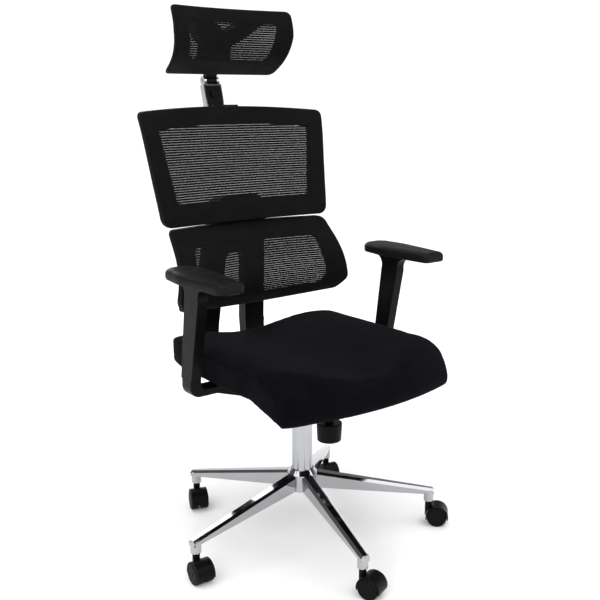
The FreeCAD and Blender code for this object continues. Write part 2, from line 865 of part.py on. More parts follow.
def seat_waterfall():
    """All that lies behind the bowed front edge and under the top, which falls towards it."""
    front, top, lip = mm("seat_front"), mm("seat_side_top"), mm("seat_lip_low")
    radius, fall = mm("seat_bow_radius"), mm("seat_fall")
    drop = top - lip
    edge = [(fall + 34, top), (fall, top - 0.2), (fall * 0.57, top - drop * 0.08),
            (fall * 0.26, top - drop * 0.27), (fall * 0.075, top - drop * 0.54),
            (0, lip + drop * 0.21), (fall * 0.05, lip + drop * 0.065), (fall * 0.2, lip)]
    points = [Vector(radius - behind_edge, 0, z) for behind_edge, z in edge]
    curve = Part.BSplineCurve()
    curve.interpolate(points)
    floor, roof = Vector(0, 0, lip), Vector(0, 0, top)
    outline = Part.Wire([curve.toShape(), Part.makePolygon([points[-1], floor, roof, points[0]])])
    disc = Part.Face(outline).revolve(Vector(), Vector(0, 0, 1), 360)
    disc.translate(Vector(0, front + radius, 0))
    return disc


def seat_cushion():
    """Dished foam block with a waterfall front: plan, side and cross profiles met together."""
    front, rear = mm("seat_front"), mm("seat_rear")
    top, dish = mm("seat_side_top"), mm("seat_middle_top")
    lip, side_low = mm("seat_lip_low"), mm("seat_side_low")
    bottom = mm("housing_top") + mm("pan_thickness") + mm("seat_gap")
    wide = mm("seat_half_width")
    plan = Part.Face(seat_outline())
    plan.translate(Vector(0, 0, lip - 5))
    block_up = plan.extrude(Vector(0, 0, top - lip + 10))

    flat = mm("pan_flat_half_width")
    brim = mm("pan_half_width")
    brim_z = bottom + mm("pan_rise")
    nose = front - 5

    def cross_point(x, z):
        return Vector(x, nose, z)

    half_crown = [(wide + 2, top - 5), (wide - 8, top - 2), (wide - 30, top),
                  (wide * 0.6, (top + dish) / 2 + 8), (0, dish)]
    crown = Part.BSplineCurve()
    crown.interpolate([cross_point(x, z) for x, z in half_crown]
                      + [cross_point(-x, z) for x, z in reversed(half_crown[:-1])])
    cross = Part.Wire([
        Part.makePolygon([
            cross_point(-wide - 5, side_low + 12), cross_point(-wide + 2, side_low),
            cross_point(-brim, brim_z), cross_point(-flat, bottom), cross_point(flat, bottom),
            cross_point(brim, brim_z), cross_point(wide - 2, side_low),
            cross_point(wide + 5, side_low + 12), cross_point(wide + 2, top - 5)]),
        crown.toShape(),
        Part.makePolygon([cross_point(-wide - 2, top - 5), cross_point(-wide - 5, side_low + 12)]),
    ])
    cross = Part.Face(cross).extrude(Vector(0, rear - nose + 5, 0))

    def side_point(y, z):
        return Vector(-wide - 5, y, z)

    # the lip hangs in front of the pan, and its underside runs back into the sides' low edges
    behind = mm("pan_front") - 4
    lip_top = bottom + 60
    lip_part = prism([side_point(nose, lip - 5), side_point(front + 40, lip - 5),
                      side_point(behind, bottom + 10), side_point(behind, lip_top),
                      side_point(nose, lip_top)], Vector(2 * wide + 10, 0, 0))
    cheek_section = [side_point(behind - 1, bottom + 10), side_point(behind + 74, side_low),
                     side_point(behind + 74, side_low + 30), side_point(behind - 1, lip_top)]
    cheek_width = Vector(wide - brim + 3, 0, 0)
    left_cheek = prism(cheek_section, cheek_width)
    right_cheek = prism([Vector(brim + 2, p.y, p.z) for p in cheek_section], cheek_width)

    side = Part.Wire([
        Part.makePolygon([side_point(nose, top), side_point(nose, lip - 6),
                          side_point(behind, lip - 6), side_point(behind, bottom),
                          side_point(rear - 30, bottom)]),
        Part.Arc(side_point(rear - 30, bottom), side_point(rear, top - 50),
                 side_point(rear - 14, top - 10)).toShape(),
        Part.makePolygon([side_point(rear - 14, top - 10), side_point(rear - 60, top),
                          side_point(nose, top)]),
    ])
    side = Part.Face(side).extrude(Vector(2 * wide + 10, 0, 0))
    foam = cross.fuse([lip_part, left_cheek, right_cheek])
    foam = block_up.common(foam).common(side).common(seat_waterfall())
    return feature_of("seat_cushion", foam)


def seat_pan():
    """Moulded pan under the foam, flat over the mechanism and turned up at both sides."""
    bottom = mm("housing_top")
    thick = mm("pan_thickness")
    flat, brim = mm("pan_flat_half_width"), mm("pan_half_width")
    rise = mm("pan_rise")
    front = mm("pan_front")

    def point(x, z):
        return Vector(x, front, z)

    section = [point(-flat, bottom), point(flat, bottom), point(brim, bottom + rise),
               point(brim, bottom + rise + thick), point(flat, bottom + thick),
               point(-flat, bottom + thick), point(-brim, bottom + rise + thick),
               point(-brim, bottom + rise)]
    pan = prism(section, Vector(0, mm("pan_rear") - front, 0))
    rear = mm("pan_rear")
    corner = mm("pan_corner")
    pan = pan.common(plan_prism([(-brim, front, corner), (brim, front, corner),
                                 (brim, rear, corner), (-brim, rear, corner)],
                                bottom - 1, bottom + rise + thick + 1))
    for x, y in seat_bolt_places() + arm_bolt_places():
        foot = Vector(float(x), float(y), bottom - 1)
        pan = pan.cut(cylinder(mm("seat_bolt_radius") + mm("running_gap"), foot,
                               foot.add(Vector(0, 0, thick))))
    return feature_of("seat_pan", pan)


def seat_fasteners():
    """Bolts from the mechanism's flange and from the arm brackets up into the pan."""
    radius = mm("seat_bolt_radius")
    bolts = []
    for places, under in ((seat_bolt_places(), mm("housing_top") - mm("housing_wall")),
                          (arm_bolt_places(), mm("housing_top") - mm("arm_bracket_thickness"))):
        for x, y in places:
            foot = Vector(float(x), float(y), under)
            head = cylinder(radius * 1.7, foot.sub(Vector(0, 0, radius)), foot)
            tip = Vector(float(x), float(y), mm("housing_top") + mm("pan_thickness") - 1.5)
            bolts.append(head.fuse(cylinder(radius, foot, tip)))
    return feature_of("seat_fasteners", Part.makeCompound(bolts))


# ---------------------------------------------------------------- armrests

def lean_shift(z):
    """How far forward the arm's middle line has moved at height z above the seam."""
    return (z - mm("arm_seam")) * math.tan(math.radians(mm("arm_lean")))


def arm_middle(z):
    return mm("arm_seam_y") - lean_shift(z)


def slanted_bar(half_width, half_thickness, low, high):
    """A bar along the arm's lean, so that it stays in line with itself as it slides."""
    x = mm("arm_x")
    corners = [(arm_middle(low) - half_width, low), (arm_middle(low) + half_width, low),
               (arm_middle(high) + half_width, high), (arm_middle(high) - half_width, high)]
    return prism([Vector(x - half_thickness, y, z) for y, z in corners],
                 Vector(2 * half_thickness, 0, 0))


def arm_bracket():
    """Arm bracket on +X: under the pan, out and up to the seam, with the post that the sleeve rides on."""
    thick = mm("arm_bracket_thickness")
    under = mm("housing_top")
    flat, brim = mm("pan_flat_half_width"), mm("pan_half_width")
    rise = mm("pan_rise")
    out = mm("arm_x") + mm("arm_thickness") / 2
    inn = mm("arm_x") - mm("arm_thickness") / 2
    seam = mm("arm_seam")
    low = mm("arm_bracket_low")
    inner = mm("arm_bracket_inner")
    rear = mm("arm_seam_y") + mm("arm_low_width") / 2
    width = mm("arm_low_width")
    gap = mm("seat_gap")

    def at(x, z):
        return Vector(x, rear, z)

    shelf = under + rise - gap
    wire = Part.Wire([
        Part.makePolygon([at(inner, under), at(flat, under - gap / 2), at(brim, shelf),
                          at(inn - 12, shelf)]),
        Part.Arc(at(inn - 12, shelf), at(inn - 3.5, shelf + 3.5), at(inn, shelf + 12)).toShape(),
        Part.makePolygon([at(inn, shelf + 12), at(inn, seam), at(out, seam),
                          at(out, low + 24)]),
        Part.Arc(at(out, low + 24), at(out - 7, low + 7), at(out - 24, low)).toShape(),
        Part.makePolygon([at(out - 24, low), at(brim + 2, low), at(flat + 6, under - thick),
                          at(inner, under - thick), at(inner, under)]),
    ])
    bracket = Part.Face(wire).extrude(Vector(0, -width, 0))
    corners = [e for e in bracket.Edges
               if abs(e.Vertexes[0].Z - e.Vertexes[-1].Z) > 10 and e.Vertexes[0].X > inn + 1]
    bracket = bracket.makeFillet(6, corners)
    post = slanted_bar(mm("arm_post_width") / 2, mm("arm_post_thickness") / 2, seam - 6,
                       mm("arm_post_high"))
    bracket = bracket.fuse(post)
    for x, y in arm_bolt_places():
        if float(x) > 0:
            foot = Vector(float(x), float(y), under - thick - 1)
            bracket = bracket.cut(cylinder(mm("seat_bolt_radius") + mm("running_gap"), foot,
                                           foot.add(Vector(0, 0, thick + 3))))
    return bracket.removeSplitter()


def button_box(spare, depth_spare):
    """The release button's space in the rear of the sleeve, grown by spare all round."""
    z = mm("arm_high") - 24
    half_width = mm("arm_button_width") / 2 + spare
    half_height = mm("arm_button_height") / 2 + spare
    rear = arm_middle(z) + mm("arm_high_width") / 2 - 1
    x = mm("arm_x")
    return block(x - half_width, x + half_width, rear - mm("arm_button_depth") - depth_spare,
                 rear + 3 + spare * 4, z - half_height, z + half_height)


def arm_sleeve():
    """Sleeve on +X that slides on the post and flares at its head into a plate under the pad."""
    seam, high = mm("arm_seam"), mm("arm_high")
    head_low = mm("arm_head_top") - mm("arm_head_thickness")
    half_low, half_high = mm("arm_low_width") / 2, mm("arm_high_width") / 2
    half_head = mm("arm_head_length") / 2
    thick = mm("arm_thickness")
    inn = mm("arm_x") - thick / 2
    neck = high - 22
    share = (neck - seam) / (high - seam)
    half_neck = half_low + (half_high - half_low) * share

    def at(y, z):
        return Vector(inn, y, z)

    front_low = at(arm_middle(seam) - half_low, seam)
    rear_low = at(arm_middle(seam) + half_low, seam)
    front_neck = at(arm_middle(neck) - half_neck, neck)
    rear_neck = at(arm_middle(neck) + half_neck, neck)
    front_head = at(arm_middle(high) - half_head, head_low)
    rear_head = at(arm_middle(high) + half_head, head_low)
    front_bend = at(front_neck.y - (front_neck.y - front_head.y) * 0.22,
                    neck + (head_low - neck) * 0.74)
    rear_bend = at(rear_neck.y + (rear_head.y - rear_neck.y) * 0.22,
                   neck + (head_low - neck) * 0.74)
    top = mm("arm_head_top")
    wire = Part.Wire([
        Part.makeLine(front_low, rear_low), Part.makeLine(rear_low, rear_neck),
        Part.Arc(rear_neck, rear_bend, rear_head).toShape(),
        Part.makePolygon([rear_head, at(rear_head.y, top), at(front_head.y, top), front_head]),
        Part.Arc(front_head, front_bend, front_neck).toShape(),
        Part.makeLine(front_neck, front_low)])
    sleeve = Part.Face(wire).extrude(Vector(thick, 0, 0))
    gap = mm("seat_gap")
    sleeve = sleeve.cut(slanted_bar(mm("arm_post_width") / 2 + gap, mm("arm_post_thickness") / 2 + gap,
                                    seam - 10, mm("arm_post_high") + 3))
    return sleeve.cut(button_box(gap, 4))


def arm_button():
    button = button_box(0, 0)
    edges = [e for e in button.Edges if abs(e.Vertexes[0].Y - e.Vertexes[1].Y) > 1]
    return button.makeFillet(3, edges)


def arm_pad():
    """Soft pad on +X, narrower at the front, with rounded edges."""
    low = mm("arm_head_top") + mm("seat_gap")
    front, rear = mm("pad_front"), mm("pad_rear")
    middle = (front + rear) / 2 + 30
    body = plan_prism([
        (mm("pad_front_in"), front, 12), (mm("pad_front_out"), front, 14),
        (mm("pad_rear_out") + 3, middle, 140), (mm("pad_rear_out") - 8, rear, 32),
        (mm("pad_rear_in") + 8, rear, 30), (mm("pad_rear_in") - 2, middle, 140)],
        low, mm("pad_top"))
    rims = [e for e in body.Edges if e.BoundBox.ZLength < 0.1]
    return body.makeFillet(6, rims)


def arms():
    for maker, stem in ((arm_bracket, "arm_bracket"), (arm_sleeve, "arm_sleeve"),
                        (arm_pad, "arm_pad"), (arm_button, "arm_button")):
        shape = maker()
        feature_of(stem + "_left", shape)
        feature_of(stem + "_right", mirrored(shape))


# ---------------------------------------------------------------- back

def upper_profile():
    slope = (mm("upper_y_high") - mm("upper_y_low")) / (mm("upper_high") - mm("upper_low"))
    low = mm("upper_low") - 10
    top = mm("upper_top") + mm("upper_crown") + 6
    return [(low, mm("upper_y_low") - 5 * slope), (mm("upper_mid") - 80, mm("upper_y_mid") - 18),
            (mm("upper_mid"), mm("upper_y_mid")), (mm("upper_high"), mm("upper_y_high")),
            (top, mm("upper_y_top") + 4)]


def lumbar_profile():
    return [(mm("lumbar_low") - mm("lumbar_belly") - 8, mm("lumbar_y_belly")),
            (mm("lumbar_low"), mm("lumbar_y_low")),
            (mm("lumbar_hip"), mm("lumbar_y_hip")), (mm("lumbar_front"), mm("lumbar_y_front")),
            (mm("lumbar_mid"), mm("lumbar_y_mid")), (mm("lumbar_waist"), mm("lumbar_y_waist")),
            (mm("lumbar_top") + 6, mm("lumbar_y_top"))]


def rest_profile():
    return [(mm("rest_low") - 6, mm("rest_y_low") + 8), (mm("rest_neck"), mm("rest_y_neck")),
            (mm("rest_mid"), mm("rest_y_mid")), (mm("rest_front"), mm("rest_y_front")),
            (mm("rest_crown"), mm("rest_y_crown")), (mm("rest_top") + 6, mm("rest_y_top"))]


def arched(corners, start, end, middle):
    """A rounded outline whose edge from corner start to corner end bows through middle."""
    wire = rounded_outline(corners)
    edges = list(wire.Edges)
    for i, edge in enumerate(edges):
        a, b = edge.Vertexes[0].Point, edge.Vertexes[-1].Point
        flat = abs(a.z - b.z) < 0.01 and abs(a.z - corners[start][1]) < 0.01
        if flat and abs(a.x - b.x) > abs(corners[start][0] - corners[end][0]) / 2:
            edges[i] = Part.Arc(a, Vector(0, 0, middle), b).toShape()
    return Part.Wire(edges)


def upper_outline():
    half_top, half_low = mm("upper_half_top"), mm("upper_half_low")
    top, low = mm("upper_top"), mm("upper_low")
    r_top, r_low = mm("upper_corner_top"), mm("upper_corner_low")
    corners = [(half_low, low, r_low), (half_top, top, r_top),
               (-half_top, top, r_top), (-half_low, low, r_low)]
    return arched(corners, 1, 2, top + mm("upper_crown"))


def upper_window():
    side = mm("upper_band_side")
    top = mm("upper_top") - mm("upper_band_top")
    low = mm("upper_low") + mm("upper_band_low")
    half_top, half_low = mm("upper_half_top") - side, mm("upper_half_low") - side
    corners = [(half_low, low, 9), (half_top, top, 9), (-half_top, top, 9), (-half_low, low, 9)]
    return arched(corners, 1, 2, top + mm("upper_crown"))


def lumbar_outline():
    top, low = mm("lumbar_top"), mm("lumbar_low")
    half_top, half_low, half_base = (
        mm("lumbar_half_top"), mm("lumbar_half_low"), mm("lumbar_half_base"))
    widest = mm("lumbar_widest")
    corners = [(half_base, low, 16), (half_low, widest, 24), (half_top, top, 16),
               (-half_top, top, 16), (-half_low, widest, 24), (-half_base, low, 16)]
    return arched(corners, 5, 0, low - mm("lumbar_belly"))


def lumbar_window():
    side = mm("lumbar_band_side")
    top = mm("lumbar_top") - mm("lumbar_band_top")
    low = mm("lumbar_low") + mm("lumbar_band_low")
    half_top, half_low = mm("lumbar_half_top") - side, mm("lumbar_half_low") - side - 8
    corners = [(half_low - 14, low, 22), (half_low, mm("lumbar_widest") + 12, 30),
               (half_top, top, 24), (-half_top, top, 24),
               (-half_low, mm("lumbar_widest") + 12, 30), (14 - half_low, low, 22)]
    return arched(corners, 5, 0, low - mm("lumbar_belly") / 2)


def rest_outline():
    top, low = mm("rest_top"), mm("rest_low")
    half_top, half_low, corner = mm("rest_half_top"), mm("rest_half_low"), mm("rest_corner")
    waist = mm("rest_front")
    corners = [(half_low, low, corner), (half_top, waist, 60), (half_top, top, corner),
               (-half_top, top, corner), (-half_top, waist, 60), (-half_low, low, corner)]
    return rounded_outline(corners)


def rest_window():
    side = mm("rest_band_side")
    top = mm("rest_top") - mm("rest_band_top")
    low = mm("rest_low") + mm("rest_band_low")
    half_top, half_low = mm("rest_half_top") - side + 6, mm("rest_half_low") - side
    corners = [(half_low, low, 16), (half_top, top, 12), (-half_top, top, 12), (-half_low, low, 16)]
    return rounded_outline(corners)


def upper_slab(near, far):
    return curved_slab(upper_profile(), mm("upper_half_top"), mm("upper_sag"), near, far)


def lumbar_slab(near, far):
    return curved_slab(lumbar_profile(), mm("lumbar_half_low"), mm("lumbar_sag"), near, far)


def rest_slab(near, far):
    return curved_slab(rest_profile(), mm("rest_half_top"), mm("rest_sag"), near, far)


def frame_rear(thickness):
    """How far a frame's rear face lies behind its panel's front surface."""
    return mm("cloth_thickness") + mm("seat_gap") + thickness


def mesh_panels():
    """The three mesh covers and the frames that they are stretched over."""
    cloth = mm("cloth_thickness")
    front = frame_rear(0)
    back_rear = frame_rear(mm("frame_thickness"))
    rest_rear = frame_rear(mm("rest_frame_thickness"))
    for label, slab, outline, window, rear in (
            ("upper", upper_slab, upper_outline(), upper_window(), back_rear),
            ("lumbar", lumbar_slab, lumbar_outline(), lumbar_window(), back_rear),
            ("headrest", rest_slab, rest_outline(), rest_window(), rest_rear)):
        feature_of(label + "_mesh", panel(slab(0, cloth), outline))
        feature_of(label + "_frame", panel(slab(front, rear), outline, window))


def behind(slab, thickness):
    """Everything in front of a frame's rear face, for seating a piece against that face."""
    rear = frame_rear(thickness) + 2 * mm("running_gap")
    return slab(rear - 120, rear)


def spine_raw():
    """Two legs that close towards a head behind the upper panel's lower rail."""
    depth, top_depth = mm("leg_depth"), mm("spine_top_depth")
    low, knee, waist, top = mm("leg_low"), mm("leg_knee"), mm("leg_waist"), mm("spine_top")
    wide = mm("leg_low_out") + 10
    front = [(mm("leg_knee_y") + 2, low), (mm("leg_knee_y"), knee), (mm("leg_waist_y"), waist),
             (mm("spine_top_y") - 14, top)]
    rear = [(mm("spine_top_y") + top_depth, top), (mm("leg_waist_y") + depth - 4, waist),
            (mm("leg_knee_y") + depth, knee), (mm("leg_knee_y") + depth + 2, low)]
    side = prism([Vector(-wide, y, z) for y, z in front + rear], Vector(2 * wide, 0, 0))
    crotch = mm("crotch")
    outer = [(mm("leg_low_out"), low), (mm("leg_waist_out"), waist),
             (mm("head_half_width"), top - 14), (mm("head_top_half_width"), top)]
    inner = [(mm("leg_waist_in") - 10, crotch), (mm("leg_waist_in"), crotch - 12),
             (mm("leg_low_in"), low)]
    half = outer + [(-x, z) for x, z in reversed(outer)]
    gap = [(-x, z) for x, z in reversed(inner)] + inner
    outline = [Vector(x, 0, z) for x, z in half + gap]
    return side.common(prism(outline, Vector(0, 500, 0)))


def tongue_box(x_spare, spare):
    """The carrier's upturned end on +X, grown by spare."""
    inn = mm("housing_half_width") + mm("seat_gap")
    front = mm("leg_knee_y") + mm("tongue_front")
    return block(inn - x_spare, inn + mm("carrier_width") + x_spare, front - spare,
                 front + mm("tongue_depth") + spare, mm("carrier_low"), mm("tongue_top") + spare)


def leg_bolt(sign, radius, head):
    """Bolt through a leg and the carrier's tongue, with its head on the outside."""
    z = mm("leg_bolt_z")
    share = (z - mm("leg_low")) / (mm("leg_waist") - mm("leg_low"))
    outside = mm("leg_low_out") + (mm("leg_waist_out") - mm("leg_low_out")) * share
    y = mm("leg_knee_y") + mm("tongue_front") + mm("tongue_depth") / 2
    start = Vector(sign * (outside - 40), y, z)
    end = Vector(sign * (outside + 1.5), y, z)
    bolt = cylinder(radius, start, end)
    if head > 0:
        bolt = bolt.fuse(cylinder(head, end, end.add(Vector(sign * 5, 0, 0))))
    return bolt


def back_spine():
    radius = mm("leg_bolt_radius") + mm("running_gap")
    spine = spine_raw()
    spine = spine.cut(behind(upper_slab, mm("frame_thickness")))
    gap = mm("seat_gap")
    tongue = tongue_box(gap, gap)
    spine = spine.cut([tongue, mirrored(tongue), leg_bolt(1, radius, 0), leg_bolt(-1, radius, 0)])
    return feature_of("back_spine", spine.removeSplitter())


def back_carrier():
    """J-shaped bars from the recline shaft, back under the seat and up into the legs."""
    inn = mm("housing_half_width") + mm("seat_gap")
    out = inn + mm("carrier_width")
    low, high = mm("carrier_low"), mm("carrier_low") + mm("carrier_height")
    rear = mm("leg_knee_y") + mm("tongue_front") + mm("tongue_depth")
    front = mm("recline_y") - mm("carrier_height") / 2
    bar = block(inn, out, front, rear, low, high).fuse(tongue_box(0, 0))
    lower_rear = [e for e in bar.Edges if abs(e.Vertexes[0].X - e.Vertexes[1].X) > 5
                  and e.BoundBox.ZMax < low + 1 and e.BoundBox.YMin > rear - 1]
    bar = bar.makeFillet(mm("tongue_depth") * 0.9, lower_rear)
    bore = mm("recline_shaft_radius") + mm("running_gap")
    shaft = cylinder(bore, Vector(inn - 1, mm("recline_y"), mm("recline_z")),
                     Vector(out + 1, mm("recline_y"), mm("recline_z")))
    hole = leg_bolt(1, mm("leg_bolt_radius") + mm("running_gap"), 0)
    bar = bar.cut([shaft, hole])
    tie_y = mm("carrier_tie_y")
    tie = block(-inn - 1, inn + 1, tie_y, tie_y + mm("carrier_tie_length"), low + 3, high - 3)
    return feature_of("back_carrier", bar.fuse([mirrored(bar), tie]).removeSplitter())


def lumbar_arm():
    """Short arm that carries the lumbar panel's top rail from the head of the spine."""
    half = mm("lumbar_arm_half_width")
    top = mm("lumbar_top") - 6
    low = mm("lumbar_top") - mm("lumbar_band_top") + 6
    raw = block(-half, half, mm("lumbar_y_top"), mm("spine_top_y") + 30, low, top)
    raw = raw.cut(behind(lumbar_slab, mm("frame_thickness")))
    raw = raw.cut(spine_raw())
    pieces = sorted(raw.Solids, key=lambda s: s.BoundBox.YMin)
    return feature_of("lumbar_arm", pieces[0])


def back_fasteners():
    """Bolts through the spine's legs and the carrier's upturned ends."""
    radius = mm("leg_bolt_radius")
    pieces = [leg_bolt(sign, radius, radius * 1.7) for sign in (-1, 1)]
    return feature_of("back_fasteners", Part.makeCompound(pieces))


# ---------------------------------------------------------------- headrest

def post_point(x, depth, above):
    """A point in the post's own leaning frame: depth behind its front face, above its middle."""
    lean = math.radians(mm("post_lean"))
    y = mm("post_y") + depth * math.cos(lean) + above * math.sin(lean)
    z = mm("post_z") - depth * math.sin(lean) + above * math.cos(lean)
    return Vector(x, y, z)


def post_block(half_width, near, far, low, high):
    corners = [post_point(-half_width, near, low), post_point(-half_width, far, low),
               post_point(-half_width, far, high), post_point(-half_width, near, high)]
    return prism(corners, Vector(2 * half_width, 0, 0))


def headrest_socket():
    """Guide behind the upper frame's top rail, in which the headrest post slides."""
    gap = mm("seat_gap")
    wall = mm("socket_wall")
    half = mm("post_width") / 2
    depth = mm("post_depth")
    top = mm("upper_top") - 3
    low = -mm("post_below")
    high = low + mm("socket_height")
    outer = post_block(half + wall, -70, depth + wall, low, high)
    outer = outer.cut(behind(upper_slab, mm("frame_thickness")))
    outer = sorted(outer.Solids, key=lambda s: s.BoundBox.YMax)[-1]
    outer = outer.common(block(-200, 200, 0, 600, 0, top + 20))
    slot = post_block(half + gap, -gap, depth + gap, low - 20, high + 20)
    cap_groove = post_block(mm("post_cap_radius") + gap, -mm("post_cap_stand") - gap, 0,
                            low - 20, high + 20)
    return feature_of("headrest_socket", outer.cut([slot, cap_groove]))


def tilt_centre():
    return post_point(0, mm("post_depth") / 2, mm("tilt_above"))


def headrest_post():
    """Chromed channel post with two ears at its top and the tilt pin through them."""
    half = mm("post_width") / 2
    wall = mm("post_wall")
    depth = mm("post_depth")
    low, high = -mm("post_below"), mm("post_above")
    channel = post_block(half, 0, depth, low, high)
    channel = channel.cut(post_block(half - wall, -1, depth - wall, low - 1, high - 4))
    centre = tilt_centre()
    knuckle = mm("tilt_knuckle_width") / 2 + mm("seat_gap")
    end = knuckle + mm("tilt_ear_width")
    ears = []
    for sign in (-1, 1):
        inner = centre.add(Vector(sign * knuckle, 0, 0))
        outer = centre.add(Vector(sign * end, 0, 0))
        ear = cylinder(mm("tilt_knuckle_radius"), inner, outer)
        foot = post_block(end, 0, depth, high - 4, mm("tilt_above"))
        foot = foot.common(block(knuckle, end, 0, 900, 0, 2000))
        if sign < 0:
            foot = mirrored(foot)
        ears.append(ear.fuse(foot))
    post = channel.fuse(ears)
    radius = mm("tilt_pin_radius")
    pin_hole = cylinder(radius + mm("running_gap"), centre.sub(Vector(end + 1, 0, 0)),
                        centre.add(Vector(end + 1, 0, 0)))
    post = post.cut(pin_hole)
    pin = cylinder(radius, centre.sub(Vector(end + 2, 0, 0)), centre.add(Vector(end + 2, 0, 0)))
    return feature_of("headrest_post", Part.makeCompound([post.removeSplitter(), pin]))


def post_cover():
    """Black cover that fills the channel post's open front."""
    gap = mm("seat_gap")
    half = mm("post_width") / 2 - mm("post_wall") - gap / 6
    cover = post_block(half, 0.5, mm("post_depth") - mm("post_wall"), -mm("post_below"),
                       mm("post_above") - 4.05)
    return feature_of("post_cover", cover)


def post_cap():
    """Round screw cap on the front of the post cover."""
    centre = post_point(0, 0.5, mm("post_cap_above"))
    ahead = post_point(0, -mm("post_cap_stand"), mm("post_cap_above"))
    cap = cylinder(mm("post_cap_radius"), centre, ahead)
    rim = [e for e in cap.Edges if e.Closed]
    return feature_of("post_cap", cap.makeFillet(1.2, rim[-1:]))


def headrest_support():
    """Moulded bracket from the tilt pin up behind the headrest, forking to its top rail."""
    centre = tilt_centre()
    radius = mm("tilt_knuckle_radius")
    half = mm("tilt_knuckle_width") / 2
    low, top = mm("rest_low"), mm("rest_top")
    depth, tip = mm("support_depth"), mm("support_tip_half")
    waist, fork = mm("support_waist_half"), low + mm("support_fork")
    front = [(centre.y - radius * 0.7, centre.z + radius * 0.4), (centre.y - 38, low + 64),
             (mm("rest_y_crown") + 8, top - 12)]
    rear = [(mm("rest_y_crown") + 64, top - 12), (centre.y - 38 + depth, low + 72),
            (centre.y + radius, centre.z + radius * 0.2)]
    side = prism([Vector(-tip - 6, y, z) for y, z in front + rear], Vector(2 * tip + 12, 0, 0))
    outline = [(half, centre.z), (half, centre.z + 1.6 * radius), (waist + 6, low + 34),
               (waist, fork - 14), (waist + 22, fork), (tip, top - 26),
               (tip, top - 12), (tip - 38, top - 12), (0, fork + 14)]
    points = outline + [(-x, z) for x, z in reversed(outline[:-1])]
    body = side.common(prism([Vector(x, 100, z) for x, z in points], Vector(0, 500, 0)))
    body = body.cut(behind(rest_slab, mm("rest_frame_thickness")))
    body = sorted(body.Solids, key=lambda s: s.Volume)[-1]
    knuckle = cylinder(radius, centre.sub(Vector(half, 0, 0)), centre.add(Vector(half, 0, 0)))
    body = body.fuse(knuckle)
    bore = cylinder(mm("tilt_pin_radius") + mm("running_gap"), centre.sub(Vector(half + 1, 0, 0)),
                    centre.add(Vector(half + 1, 0, 0)))
    return feature_of("headrest_support", body.cut(bore).removeSplitter())


# ---------------------------------------------------------------- the whole chair

star_base()
castor_sockets()
for place in castor_places():
    castor(*place)
gas_lift()
mechanism_housing()
mechanism_pieces()
seat_pan()
seat_cushion()
seat_fasteners()
arms()
mesh_panels()
back_spine()
back_carrier()
lumbar_arm()
back_fasteners()
headrest_socket()
headrest_post()
post_cover()
post_cap()
headrest_support()

doc.recompute()
faults = [thing.Label for thing in doc.Objects if {"Invalid", "Error"} & set(thing.State)]
nodes = [thing for thing in doc.Objects
         if thing.TypeId == "PartDesign::Body"
         or (thing.TypeId == "Part::Feature" and thing.getParentGeoFeatureGroup() is None)]
for node in nodes:
    if node.Shape.isNull() or not node.Shape.isValid() or not node.Shape.Solids:
        faults.append(node.Label)
if faults:
    raise RuntimeError("these objects failed: " + ", ".join(sorted(set(faults))))
for node in nodes:
    node.Shape.exportStep(f"parts/{node.Label}.step")
print(len(nodes), "nodes")
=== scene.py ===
"""Looks of the swivel office chair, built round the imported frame. Lengths are in metres."""

import json
import math

import bmesh
import bpy
from mathutils import Matrix, Vector
from mathutils.bvhtree import BVHTree


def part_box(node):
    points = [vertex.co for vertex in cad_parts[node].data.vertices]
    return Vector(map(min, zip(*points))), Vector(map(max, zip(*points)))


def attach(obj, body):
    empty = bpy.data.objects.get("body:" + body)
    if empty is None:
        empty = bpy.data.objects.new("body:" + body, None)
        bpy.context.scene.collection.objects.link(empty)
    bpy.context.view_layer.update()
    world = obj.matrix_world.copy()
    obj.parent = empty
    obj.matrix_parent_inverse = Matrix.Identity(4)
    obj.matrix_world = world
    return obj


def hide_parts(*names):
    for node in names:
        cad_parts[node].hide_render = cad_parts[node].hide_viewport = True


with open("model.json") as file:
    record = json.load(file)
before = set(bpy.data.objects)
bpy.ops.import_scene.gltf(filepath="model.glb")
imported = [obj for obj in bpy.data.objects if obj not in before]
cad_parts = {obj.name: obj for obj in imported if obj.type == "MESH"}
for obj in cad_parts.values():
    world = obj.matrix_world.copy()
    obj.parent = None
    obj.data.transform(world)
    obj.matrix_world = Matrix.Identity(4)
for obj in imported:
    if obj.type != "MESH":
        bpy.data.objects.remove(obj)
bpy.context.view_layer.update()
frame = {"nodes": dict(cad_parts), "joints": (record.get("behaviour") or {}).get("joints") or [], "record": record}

MM = 0.001
BODY_OF = {node: body
           for body, nodes in frame["record"]["behaviour"]["bodies"].items() for node in nodes}
SLOT_OF = {row["node"]: row["material_slot"] for row in frame["record"]["subparts"]}
SIDES = ("left", "right")
CASTORS = "abcde"

# Rounding of CAD nodes
WELD = 2e-6                 # points nearer than this become one
FLAT_ANGLE = 0.6            # degrees; facets flatter than this are merged
BEVEL_STEPS = 3
SHARP_ANGLE = 32            # degrees; sharper edges are rounded

# Mesh panels
HALVINGS = 14               # steps of the search for an outline
BORDER_POINTS = 360
WINDOW_POINTS = 180
INWARD_STEP = 0.004         # share of the way to the middle, when a point lies off the panel
HEM = 2.4 * MM              # border inside the window's edge
NET_TUCK = 3 * MM           # net behind the border
NET_SET_BACK = 0.9 * MM
NET_WEIGHT = 0.5 * MM
HOLE_PITCH = 2.7 * MM
HOLE_WIDTH = 1.3 * MM
CURVE_STEPS = 60
# Stem: pitch of the rows of holes, height of a hole, how far the border wraps back, all in mm
PANELS = {"upper": (5.7, 0.95, 19.8), "lumbar": (5.3, 0.8, 19.8), "headrest": (5.3, 0.85, 12.8)}

# Seat
SEAT_VOXEL = 5 * MM
SEAT_SHRINK = 1.5 * MM
SEAT_PRESSURE = 4.0
SEAT_SWELL = 3 * MM
CLOTH_STEPS = 20

